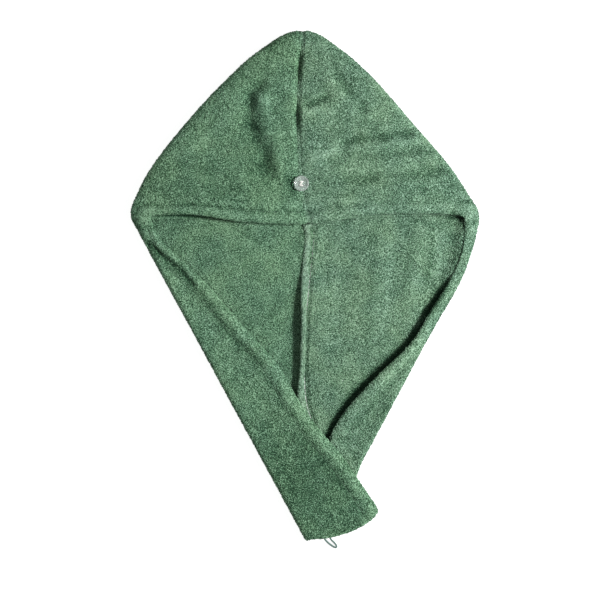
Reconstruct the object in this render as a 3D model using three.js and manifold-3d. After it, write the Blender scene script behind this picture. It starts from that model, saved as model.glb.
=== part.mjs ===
import * as THREE from 'three';
import { mergeVertices } from 'three/addons/utils/BufferGeometryUtils.js';
import Module from 'manifold-3d';

// Hair turban towel of terry cloth, lying flat: two mirrored panels joined by one long centre seam.
// Each panel is one folded wall of cloth. Millimetres, +Z up, the peak of the hood towards +Y.

// Size of the whole towel as it lies
const mouthWidth = 400;
const crownHeight = 221;
const tailLength = 368;

// Terry cloth and its turned hem
const clothThickness = 2.5;
const hemThickness = 4.8;
const hemEdgeThickness = 3.4;
const hemWidth = 16;

// Section through the hem: places as shares of its width from the free edge
const hemSection = [
  { at: 0.00, thickness: hemEdgeThickness },
  { at: 0.28, thickness: hemThickness },
  { at: 0.62, thickness: hemThickness },
  { at: 0.94, thickness: clothThickness },
  { at: 1.35, thickness: clothThickness },
];

// How far a free edge is rounded out, as a share of its thickness
const edgeRounding = 0.32;

// Heights over the surface, the radius of the folds, and how far from a fold the hood has puffed up
const rollRadius = 5;
const flapLift = 12;
const crownLift = 20;
const puffReach = 30;

// Centre seam
const seamGap = 0.5;
const seamRoll = 5.5;
const innerSeamDip = 0.8;
const outerSeamDip = 2.2;
const outerDipFrom = 0.7;
const allowanceWidth = 8.4;
const allowanceThickness = 2.4;
const restGap = 0.35;

// Button
const buttonDiameter = 18;
const buttonThickness = 3.2;
const buttonRimWidth = 1.9;
const buttonHoleDiameter = 1.8;
const buttonHoleSpacing = 4.4;
const buttonSides = 28;
const buttonHoleSides = 10;
const buttonAcross = -0.022;
const buttonUp = 0.198;

// Section of the button's edge, rim and dish: distance in from its edge as shares of the rim's width, and
// height as shares of its thickness
const buttonSection = [
  { inwards: 0.59, height: 0.00 },
  { inwards: 0.00, height: 0.31 },
  { inwards: 0.00, height: 0.74 },
  { inwards: 0.37, height: 1.00 },
  { inwards: 1.00, height: 0.91 },
  { inwards: 1.70, height: 0.66 },
];

// Elastic loop
const loopDiameter = 2.2;
const loopReach = 12;
const loopClearance = 0.1;
const loopCells = 26;
const loopSides = 4;

// Course of the elastic loop from the end of the seam, as shares of its reach; lift goes from lying on the
// surface to lying inside the tail
const loopRoute = [
  { right: -0.30, down: -1.50, lift: 1.0 },
  { right: -0.30, down: -1.10, lift: 1.0 },
  { right: -0.28, down: -0.70, lift: 1.0 },
  { right: -0.23, down: -0.29, lift: 1.0 },
  { right: -0.10, down: 0.12, lift: 1.0 },
  { right: 0.26, down: 0.52, lift: 0.5 },
  { right: 0.66, down: 0.84, lift: 0.0 },
  { right: 0.94, down: 0.96, lift: 0.0 },
  { right: 1.02, down: 0.80, lift: 0.0 },
  { right: 0.80, down: 0.46, lift: 0.5 },
  { right: 0.48, down: 0.12, lift: 1.0 },
  { right: 0.33, down: -0.29, lift: 1.0 },
  { right: 0.26, down: -0.70, lift: 1.0 },
  { right: 0.24, down: -1.10, lift: 1.0 },
  { right: 0.24, down: -1.50, lift: 1.0 },
];

// Number of cells of the cloth grid, and how far down the tail its rows lie closer together
const acrossCells = 14;
const crownCells = 12;
const tailCells = 24;
const rollCells = 5;
const flapCells = 6;
const closeRows = [0, 0.015, 0.03, 0.05, 0.08, 0.115];
const lastRow = 0.975;

// Outline of the hood from the peak to the corners: shares of the crown height and of half the mouth width
const hoodOutline = [
  { up: 1.000, left: -0.017, right: -0.017 },
  { up: 0.979, left: -0.109, right: 0.069 },
  { up: 0.932, left: -0.195, right: 0.149 },
  { up: 0.844, left: -0.328, right: 0.276 },
  { up: 0.740, left: -0.448, right: 0.397 },
  { up: 0.635, left: -0.563, right: 0.500 },
  { up: 0.479, left: -0.713, right: 0.649 },
  { up: 0.323, left: -0.851, right: 0.799 },
  { up: 0.219, left: -0.925, right: 0.885 },
  { up: 0.141, left: -0.965, right: 0.936 },
  { up: 0.083, left: -0.989, right: 0.976 },
  { up: 0.045, left: -0.999, right: 0.994 },
  { up: 0.018, left: -0.997, right: 1.000 },
];

// Centre seam on the top of the hood and under it, from the hem of the hood to the peak
const hoodSeams = [
  { up: 0.000, top: 0.017, under: 0.046 },
  { up: 0.160, top: -0.023, under: 0.040 },
  { up: 0.380, top: -0.040, under: 0.028 },
  { up: 0.600, top: -0.048, under: 0.013 },
  { up: 0.800, top: -0.034, under: -0.003 },
  { up: 1.000, top: -0.017, under: -0.017 },
];

// How far the edge of the hood hangs below the corners, as shares of the crown height
const brimLine = [
  { across: -1.00, up: 0.016 },
  { across: -0.60, up: 0.021 },
  { across: -0.22, up: 0.000 },
  { across: 0.03, up: -0.005 },
  { across: 0.26, up: 0.021 },
  { across: 0.60, up: 0.036 },
  { across: 1.00, up: 0.040 },
];

// Power with which the edge of the hood turns off to the notch where the flap begins
const notchTurn = 6;

// Height of the hood's middle surface, as shares of the crown lift; its flanks are at this share of half
// the mouth width
const flankAt = 0.55;
const hoodLift = [
  { up: 0.00, left: 0.80, centre: 0.64, right: 0.72 },
  { up: 0.10, left: 0.83, centre: 0.71, right: 0.76 },
  { up: 0.25, left: 0.86, centre: 0.82, right: 0.86 },
  { up: 0.45, left: 0.90, centre: 0.92, right: 0.95 },
  { up: 0.65, left: 0.94, centre: 0.96, right: 0.97 },
  { up: 0.85, left: 0.90, centre: 0.90, right: 0.90 },
  { up: 1.00, left: 0.76, centre: 0.76, right: 0.76 },
];

// Radius of the fold along the hood's outline, as shares of the roll radius
const hoodRoll = [
  { at: 0.00, roll: 1.40 },
  { at: 0.30, roll: 1.20 },
  { at: 0.70, roll: 1.00 },
  { at: 1.00, roll: 0.90 },
];

// Sections of the left side of the tail. seam, fold and edge are shares of half the mouth width, the
// columns ending in Down are shares of the tail length, roll is a share of the roll radius, lie, rise and
// lip are heights of the flap's middle, its hem and its edge as shares of the flap lift, and hem is the
// share of the hem's extra thickness.
const leftTail = [
  { at: 0.00, seam: 0.046, seamDown: 0.000, fold: -0.997, foldDown: -0.011, edge: -0.891, edgeDown: -0.009,
    roll: 0.90, lie: 0.86, rise: 0.88, lip: 0.86, hem: 1.0 },
  { at: 0.04, seam: 0.052, seamDown: 0.034, fold: -0.954, foldDown: 0.031, edge: -0.882, edgeDown: 0.022,
    roll: 0.86, lie: 0.80, rise: 0.86, lip: 0.82, hem: 1.0 },
  { at: 0.10, seam: 0.043, seamDown: 0.091, fold: -0.894, foldDown: 0.092, edge: -0.787, edgeDown: 0.089,
    roll: 0.76, lie: 0.62, rise: 0.84, lip: 0.76, hem: 1.0 },
  { at: 0.20, seam: 0.026, seamDown: 0.184, fold: -0.794, foldDown: 0.192, edge: -0.592, edgeDown: 0.184,
    roll: 0.70, lie: 0.50, rise: 0.82, lip: 0.70, hem: 1.0 },
  { at: 0.30, seam: 0.009, seamDown: 0.278, fold: -0.694, foldDown: 0.292, edge: -0.448, edgeDown: 0.275,
    roll: 0.70, lie: 0.48, rise: 0.80, lip: 0.66, hem: 1.0 },
  { at: 0.40, seam: 0.000, seamDown: 0.375, fold: -0.594, foldDown: 0.392, edge: -0.299, edgeDown: 0.367,
    roll: 0.70, lie: 0.48, rise: 0.78, lip: 0.64, hem: 1.0 },
  { at: 0.50, seam: -0.003, seamDown: 0.469, fold: -0.494, foldDown: 0.493, edge: -0.152, edgeDown: 0.455,
    roll: 0.70, lie: 0.50, rise: 0.78, lip: 0.64, hem: 1.0 },
  { at: 0.60, seam: 0.006, seamDown: 0.566, fold: -0.394, foldDown: 0.593, edge: -0.060, edgeDown: 0.547,
    roll: 0.72, lie: 0.58, rise: 0.90, lip: 0.80, hem: 1.0 },
  { at: 0.70, seam: 0.060, seamDown: 0.659, fold: -0.294, foldDown: 0.693, edge: 0.055, edgeDown: 0.638,
    roll: 0.76, lie: 0.76, rise: 1.06, lip: 0.98, hem: 1.0 },
  { at: 0.80, seam: 0.092, seamDown: 0.753, fold: -0.194, foldDown: 0.793, edge: 0.195, edgeDown: 0.725,
    roll: 0.78, lie: 0.86, rise: 1.04, lip: 0.96, hem: 1.0 },
  { at: 0.90, seam: 0.112, seamDown: 0.859, fold: -0.094, foldDown: 0.893, edge: 0.305, edgeDown: 0.814,
    roll: 0.77, lie: 0.79, rise: 0.88, lip: 0.78, hem: 1.0 },
  { at: 1.00, seam: 0.121, seamDown: 0.990, fold: 0.006, foldDown: 0.994, edge: 0.417, edgeDown: 0.903,
    roll: 0.74, lie: 0.74, rise: 0.72, lip: 0.62, hem: 0.8 },
];

// Sections of the right side of the tail, whose flap lies under the left one from the crossing on
const rightTail = [
  { at: 0.00, seam: 0.046, seamDown: 0.000, fold: 1.000, foldDown: -0.011, edge: 0.925, edgeDown: -0.016,
    roll: 0.90, lie: 0.86, rise: 0.88, lip: 0.86, hem: 1.0 },
  { at: 0.04, seam: 0.052, seamDown: 0.034, fold: 0.986, foldDown: 0.031, edge: 0.927, edgeDown: 0.028,
    roll: 0.68, lie: 0.68, rise: 0.68, lip: 0.65, hem: 0.5 },
  { at: 0.10, seam: 0.043, seamDown: 0.091, fold: 0.954, foldDown: 0.097, edge: 0.914, edgeDown: 0.094,
    roll: 0.46, lie: 0.48, rise: 0.48, lip: 0.46, hem: 0.3 },
  { at: 0.20, seam: 0.026, seamDown: 0.184, fold: 0.888, foldDown: 0.191, edge: 0.841, edgeDown: 0.184,
    roll: 0.52, lie: 0.62, rise: 0.66, lip: 0.66, hem: 0.4 },
  { at: 0.30, seam: 0.009, seamDown: 0.278, fold: 0.784, foldDown: 0.288, edge: 0.730, edgeDown: 0.278,
    roll: 0.60, lie: 0.80, rise: 0.88, lip: 0.92, hem: 0.6 },
  { at: 0.40, seam: 0.000, seamDown: 0.375, fold: 0.684, foldDown: 0.384, edge: 0.624, edgeDown: 0.378,
    roll: 0.66, lie: 0.86, rise: 0.98, lip: 1.00, hem: 0.9 },
  { at: 0.50, seam: -0.003, seamDown: 0.469, fold: 0.589, foldDown: 0.481, edge: 0.454, edgeDown: 0.466,
    roll: 0.66, lie: 0.64, rise: 1.00, lip: 0.96, hem: 1.0 },
  { at: 0.60, seam: 0.006, seamDown: 0.566, fold: 0.494, foldDown: 0.578, edge: 0.302, edgeDown: 0.552,
    roll: 0.62, lie: 0.50, rise: 0.96, lip: 0.90, hem: 1.0 },
  { at: 0.70, seam: 0.060, seamDown: 0.659, fold: 0.399, foldDown: 0.675, edge: 0.178, edgeDown: 0.641,
    roll: 0.56, lie: 0.48, rise: 0.82, lip: 0.76, hem: 0.8 },
  { at: 0.80, seam: 0.092, seamDown: 0.753, fold: 0.305, foldDown: 0.772, edge: 0.124, edgeDown: 0.731,
    roll: 0.50, lie: 0.46, rise: 0.48, lip: 0.46, hem: 0.4 },
  { at: 0.90, seam: 0.112, seamDown: 0.859, fold: 0.276, foldDown: 0.853, edge: 0.140, edgeDown: 0.842,
    roll: 0.46, lie: 0.42, rise: 0.42, lip: 0.40, hem: 0.2 },
  { at: 1.00, seam: 0.121, seamDown: 0.990, fold: 0.322, foldDown: 0.934, edge: 0.178, edgeDown: 0.972,
    roll: 0.46, lie: 0.40, rise: 0.40, lip: 0.39, hem: 0.2 },
];

// Section of a flap: the share of its width from which it lies, how many hem widths from its edge it rises,
// and the most of a narrow flap that its hem takes up
const flapLiesFrom = 0.35;
const flapRises = 2.1;
const hemOfNarrowFlap = 0.7;

// How far the seam allowance stands up from lying flat, along the same sections
const allowanceTurns = [
  { at: 0.00, turn: 0.00 },
  { at: 0.18, turn: 0.04 },
  { at: 0.30, turn: 0.80 },
  { at: 0.42, turn: 0.95 },
  { at: 0.52, turn: 0.80 },
  { at: 0.59, turn: 0.15 },
  { at: 0.66, turn: 0.00 },
  { at: 1.00, turn: 0.00 },
];
const standingTurn = Math.PI * 0.46;

// Section of the seam allowance, as shares of its width and thickness
const allowanceSection = [
  { across: 0.00, rise: 0.30 },
  { across: 0.10, rise: 0.00 },
  { across: 0.90, rise: 0.00 },
  { across: 1.00, rise: 0.30 },
  { across: 1.00, rise: 0.70 },
  { across: 0.90, rise: 1.00 },
  { across: 0.10, rise: 1.00 },
  { across: 0.00, rise: 0.70 },
];

// The last row of the tail that the allowance reaches, how many hem widths above the edge of the hood it
// stops, and how far it keeps inside the peak as a share of its thickness
const allowanceLastShare = 0.93;
const allowanceStopShare = 1.15;
const allowancePeakEaseShare = 1.083;

// How far the squared end of the tail bows out, as a share of the flap's width, and from which section on
const endBow = 0.135;
const endBowFrom = 0.86;

// Dents and soft folds on the hood: ends as shares of half the mouth width and of the crown height,
// depth as a share of the crown lift, reach in cloth thicknesses
const hoodFolds = [
  { x0: -0.33, up0: 0.72, x1: -0.31, up1: 0.56, depth: -0.20, reach: 4.2 },
  { x0: -0.31, up0: 0.56, x1: -0.22, up1: 0.26, depth: -0.20, reach: 4.6 },
  { x0: -0.27, up0: 0.68, x1: -0.24, up1: 0.54, depth: 0.08, reach: 4.0 },
  { x0: 0.09, up0: 0.81, x1: 0.33, up1: 0.60, depth: 0.08, reach: 4.4 },
  { x0: 0.03, up0: 0.59, x1: 0.14, up1: 0.60, depth: -0.10, reach: 3.6 },
  { x0: 0.36, up0: 0.44, x1: 0.64, up1: 0.47, depth: -0.09, reach: 4.6 },
  { x0: 0.36, up0: 0.34, x1: 0.74, up1: 0.38, depth: 0.06, reach: 4.6 },
  { x0: 0.30, up0: 0.23, x1: 0.80, up1: 0.26, depth: -0.09, reach: 4.6 },
  { x0: buttonAcross, up0: buttonUp, x1: buttonAcross, up1: buttonUp - 0.02, depth: -0.10, reach: 5.0 },
];

// Soft ripples of the lower layer, lifted off the surface: positions as in the tail's sections
const lowerRipples = [
  { x0: 0.07, down0: 0.14, x1: 0.09, down1: 0.52, height: 0.7, reach: 4.0 },
  { x0: 0.42, down0: 0.10, x1: 0.36, down1: 0.32, height: 0.7, reach: 5.0 },
  { x0: 0.66, down0: 0.04, x1: 0.60, down1: 0.26, height: 0.8, reach: 5.0 },
];

const TERRY_GREEN = 0x668a6f;
const TERRY_GREEN_LIGHT = 0x6f9479;
const SEAM_GREEN = 0x79996f;
const CLEAR_PLASTIC = 0xc9d3cc;
const ELASTIC_GREEN = 0x8faaa0;
const TERRY_ROUGHNESS = 0.95;
const PLASTIC_ROUGHNESS = 0.12;
const ELASTIC_ROUGHNESS = 0.7;

// Number of stretches in which the outline is measured, and how close two corners are one
const outlineDivisions = 1200;
const sameCorner = 1e-4;

const halfMouth = mouthWidth / 2;
const lowerMiddle = clothThickness / 2;

// Smooth value of one column of a table between its rows
function track(rows, key, at, column) {
  let k = 0;
  while (k < rows.length - 2 && rows[k + 1][key] < at) k += 1;
  const slope = (i) => {
    const before = rows[Math.max(i - 1, 0)];
    const after = rows[Math.min(i + 1, rows.length - 1)];
    return (after[column] - before[column]) / (after[key] - before[key]);
  };
  const span = rows[k + 1][key] - rows[k][key];
  const s = THREE.MathUtils.clamp((at - rows[k][key]) / span, 0, 1);
  const rest = 1 - s;
  return (1 + 2 * s) * rest * rest * rows[k][column] + s * rest * rest * span * slope(k)
    + s * s * (3 - 2 * s) * rows[k + 1][column] - s * s * rest * span * slope(k + 1);
}

// Point on the surface from shares; up counts from the corners' level, and down is negative up
function place(across, up, down = 0) {
  return new THREE.Vector2(across * halfMouth, up * crownHeight - down * tailLength);
}

// Distance from a point to the straight line between two others
function lineDistance(point, start, end) {
  const along = end.clone().sub(start);
  const offset = point.clone().sub(start);
  const share = THREE.MathUtils.clamp(offset.dot(along) / along.lengthSq(), 0, 1);
  return offset.distanceTo(along.multiplyScalar(share));
}

// Shares from 0 to 1 of a length: first the given distances from its start, then even steps
function steps(length, count, distances) {
  const squeeze = Math.min(1, length / (2 * distances[distances.length - 1]));
  const out = [0];
  for (const distance of distances) out.push(distance * squeeze / length);
  const reached = out[out.length - 1];
  const left = count - distances.length;
  for (let k = 1; k <= left; k += 1) out.push(reached + (1 - reached) * k / left);
  return out;
}

// Distances from the hem's edge at which the cloth grid has a row
const hemRows = hemSection.slice(1).map((row) => row.at * hemWidth);

// Thickness of the cloth at a distance from the free edge
function hemProfile(distance, hemShare) {
  const at = distance / hemWidth;
  if (at >= hemSection[hemSection.length - 1].at) return clothThickness;
  let k = 0;
  while (k < hemSection.length - 2 && hemSection[k + 1].at < at) k += 1;
  const here = hemSection[k];
  const next = hemSection[k + 1];
  const full = THREE.MathUtils.lerp(here.thickness, next.thickness, (at - here.at) / (next.at - here.at));
  return clothThickness + (full - clothThickness) * hemShare;
}

// Height of the hood's middle surface over the surface the towel lies on
function hoodHeight(point, foldHeight, foldDistance) {
  const up = THREE.MathUtils.clamp(point.y / crownHeight, 0, 1);
  const across = THREE.MathUtils.clamp(point.x / halfMouth / flankAt, -1, 1);
  const side = across < 0 ? 'left' : 'right';
  const centre = track(hoodLift, 'up', up, 'centre');
  const flank = track(hoodLift, 'up', up, side);
  const blend = across * across * (3 - 2 * Math.abs(across));
  let target = THREE.MathUtils.lerp(centre, flank, blend) * crownLift;
  for (const fold of hoodFolds) {
    const off = lineDistance(point, place(fold.x0, fold.up0), place(fold.x1, fold.up1));
    const reach = fold.reach * clothThickness;
    target += fold.depth * crownLift * Math.exp(-off * off / (reach * reach));
  }
  const rise = 1 - Math.exp(-foldDistance / puffReach);
  return foldHeight + (target - foldHeight) * rise;
}

// Height of the lower layer's middle surface
function lowerHeight(point) {
  let height = lowerMiddle;
  for (const ripple of lowerRipples) {
    const off = lineDistance(point, place(ripple.x0, 0, ripple.down0), place(ripple.x1, 0, ripple.down1));
    const reach = ripple.reach * clothThickness;
    height += ripple.height * clothThickness * Math.exp(-off * off / (reach * reach));
  }
  return height;
}

// Shares down the tail at which the cloth grid has a row, closer together round the corner
function tailShares() {
  const out = [...closeRows];
  const from = closeRows[closeRows.length - 1];
  const even = tailCells - closeRows.length;
  for (let k = 1; k <= even; k += 1) out.push(from + (lastRow - from) * k / even);
  out.push(1);
  return out;
}

const TAIL = tailShares();
const cornerRow = acrossCells + crownCells;

// Outline of one side from the peak round the corner to the tail end, with the fold's inner line,
// its outward direction and its radius at each of the grid's rows
function foldLine(side) {
  const column = side < 0 ? 'left' : 'right';
  const rows = side < 0 ? leftTail : rightTail;
  const points = hoodOutline.map((row) => {
    const flat = place(row[column], row.up);
    return new THREE.Vector3(flat.x, flat.y, 0);
  });
  const curve = new THREE.CatmullRomCurve3(points, false, 'centripetal');
  curve.arcLengthDivisions = outlineDivisions;
  const length = curve.getLength();
  const half = length / 2;
  const outline = [];
  for (const share of steps(half, acrossCells, [seamRoll])) outline.push(curve.getPointAt(share / 2));
  const fromCorner = steps(half, crownCells, hemRows);
  for (let j = crownCells - 1; j >= 0; j -= 1) outline.push(curve.getPointAt(1 - fromCorner[j] / 2));
  for (const at of TAIL.slice(1)) {
    const flat = place(track(rows, 'at', at, 'fold'), 0, track(rows, 'at', at, 'foldDown'));
    outline.push(new THREE.Vector3(flat.x, flat.y, 0));
  }
  return outline.map((point, k) => {
    const before = outline[Math.max(k - 1, 0)];
    const after = outline[Math.min(k + 1, outline.length - 1)];
    const along = after.clone().sub(before).normalize();
    const out = k === 0 ? new THREE.Vector3(0, 1, 0) : new THREE.Vector3(-side * along.y, side * along.x, 0);
    const roll = k <= cornerRow
      ? track(hoodRoll, 'at', k / cornerRow, 'roll')
      : track(rows, 'at', TAIL[k - cornerRow], 'roll');
    const radius = roll * rollRadius;
    return { point, out, radius, inner: point.clone().addScaledVector(out, -radius - lowerMiddle) };
  });
}

// Share of the way along a row of points that each of them has reached
function sharesAlong(points) {
  const reached = [0];
  for (let k = 1; k < points.length; k += 1) {
    reached.push(reached[k - 1] + points[k].distanceTo(points[k - 1]));
  }
  return reached.map((distance) => distance / reached[reached.length - 1]);
}

// Points of a four-sided patch between its bottom, top, start and end rows of points
function fillPatch(bottom, top, start, end) {
  const [alongBottom, alongTop, alongStart, alongEnd] = [bottom, top, start, end].map(sharesAlong);
  const far = bottom.length - 1;
  return bottom.map((low, i) => start.map((near, j) => {
    const between = (alongStart[j] + alongEnd[j]) / 2;
    const u = THREE.MathUtils.lerp(alongBottom[i], alongTop[i], between);
    const v = THREE.MathUtils.lerp(alongStart[j], alongEnd[j], u);
    const point = low.clone().lerp(top[i], v);
    point.addScaledVector(near, 1 - u).addScaledVector(end[j], u);
    point.addScaledVector(bottom[0], -(1 - u) * (1 - v)).addScaledVector(top[0], -(1 - u) * v);
    return point.addScaledVector(bottom[far], -u * (1 - v)).addScaledVector(top[far], -u * v);
  }));
}

const flatOf = (point) => new THREE.Vector2(point.x, point.y);

// A sheet under construction: middle points, thickness, seam marks and four-sided cells
function emptySheet() {
  return { points: [], thickness: [], onSeam: [], cells: [] };
}

function addPoint(sheet, flat, height, thickness, onSeam = false) {
  sheet.points.push(new THREE.Vector3(flat.x, flat.y, height));
  sheet.thickness.push(thickness);
  sheet.onSeam.push(onSeam);
  return sheet.points.length - 1;
}

// Closed wall of cloth round a sheet's middle surface, with rounded free edges
function thicken(sheet, flip) {
  const { points, thickness, onSeam } = sheet;
  const cells = flip ? sheet.cells.map((cell) => [...cell].reverse()) : sheet.cells;
  const normals = points.map(() => new THREE.Vector3());
  const edges = new Map();
  for (const cell of cells) {
    const first = points[cell[2]].clone().sub(points[cell[0]]);
    const normal = first.cross(points[cell[3]].clone().sub(points[cell[1]])).normalize();
    for (let k = 0; k < 4; k += 1) {
      normals[cell[k]].add(normal);
      const a = cell[k];
      const b = cell[(k + 1) % 4];
      if (!edges.delete(`${b},${a}`)) edges.set(`${a},${b}`, { a, b, normal });
    }
  }
  normals.forEach((normal, k) => {
    if (onSeam[k]) normal.x = 0;
    normal.normalize();
  });
  const outward = points.map(() => new THREE.Vector3());
  for (const { a, b, normal } of edges.values()) {
    const out = points[b].clone().sub(points[a]).cross(normal).normalize();
    outward[a].add(out);
    outward[b].add(out);
  }
  const count = points.length;
  const position = [];
  for (const side of [1, -1]) {
    points.forEach((point, k) => {
      const moved = point.clone().addScaledVector(normals[k], side * thickness[k] / 2);
      position.push(moved.x, moved.y, moved.z);
    });
  }
  points.forEach((point, k) => {
    const bulge = onSeam[k] ? 0 : thickness[k] * edgeRounding;
    const moved = point.clone().addScaledVector(outward[k].normalize(), bulge);
    position.push(moved.x, moved.y, moved.z);
  });
  const index = [];
  const pushQuad = (a, b, c, d, swap) => {
    if (swap) index.push(a, b, d, b, c, d);
    else index.push(a, b, c, a, c, d);
  };
  for (const [a, b, c, d] of cells) {
    const swap = points[b].distanceTo(points[d]) < points[a].distanceTo(points[c]);
    pushQuad(a, b, c, d, swap);
    pushQuad(count + a, count + d, count + c, count + b, swap);
  }
  for (const { a, b } of edges.values()) {
    const middle = 2 * count;
    pushQuad(b, a, middle + a, middle + b, false);
    pushQuad(middle + b, middle + a, count + a, count + b, false);
  }
  const geometry = new THREE.BufferGeometry();
  geometry.setAttribute('position', new THREE.Float32BufferAttribute(position, 3));
  geometry.setIndex(index);
  return geometry;
}

// How far the cloth dips towards the inside at the seam: little on the lower layer, more on top
function seamDip(height) {
  const share = THREE.MathUtils.smoothstep(height, lowerMiddle, crownLift * outerDipFrom);
  return THREE.MathUtils.lerp(innerSeamDip, outerSeamDip, share);
}

// Section of the folded-in flap: height and thickness at a share of its width
function flapSection(row, share, width, foldHeight) {
  const hem = Math.min(hemWidth / width, hemOfNarrowFlap);
  const heights = [
    { at: 0, height: foldHeight },
    { at: Math.max(flapLiesFrom, 1 - flapRises * hem), height: row.lie * flapLift },
    { at: 1 - hem / 2, height: row.rise * flapLift },
    { at: 1, height: row.lip * flapLift },
  ];
  const fullness = Math.min(1, width / hemWidth);
  return {
    height: track(heights, 'at', share, 'height'),
    thickness: hemProfile((1 - share) * width / fullness, row.hem * fullness),
  };
}

const FOLDS = new Map([[-1, foldLine(-1)], [1, foldLine(1)]]);
const PEAK = FOLDS.get(-1)[0];
const peakUp = PEAK.inner.y / crownHeight;
const crownShares = steps(crownHeight, crownCells, hemRows);

// Distance in plan from a point to the nearer of the two folded sides
function foldDistance(point) {
  let nearest = Infinity;
  for (const fold of FOLDS.values()) {
    for (let k = 0; k < cornerRow; k += 1) {
      nearest = Math.min(nearest, lineDistance(point, flatOf(fold[k].inner), flatOf(fold[k + 1].inner)));
    }
  }
  return nearest;
}

// Height of the hood's middle surface at a point, from the fold that is nearest to it
function crownHeightAt(point) {
  const down = 1 - THREE.MathUtils.clamp(point.y / crownHeight, 0, 1);
  const foldHeight = lowerMiddle + 2 * rollRadius * track(hoodRoll, 'at', down, 'roll');
  return hoodHeight(point, foldHeight, foldDistance(point));
}

const brimUp = (across) => track(brimLine, 'across', across, 'up');

// The seam under the hood and on top of it, at a share of the way from the hem to the peak
function lowerSeamPoint(share) {
  const up = share * peakUp;
  return place(track(hoodSeams, 'up', up, 'under'), up);
}

function topSeamPoint(share) {
  const foot = track(hoodSeams, 'up', 0, 'top');
  const up = THREE.MathUtils.lerp(brimUp(foot), peakUp, share);
  return place(track(hoodSeams, 'up', Math.max(up, 0), 'top'), up);
}

function tailSeamPoint(at) {
  return place(track(leftTail, 'at', at, 'seam'), 0, track(leftTail, 'at', at, 'seamDown'));
}

// The lower layer rests on the surface, so its seam edge only lifts
const lowerSeamHeight = (flat) => lowerHeight(flat) + innerSeamDip;

function topSeamHeight(flat) {
  const height = crownHeightAt(flat);
  return height - seamDip(height);
}

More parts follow.
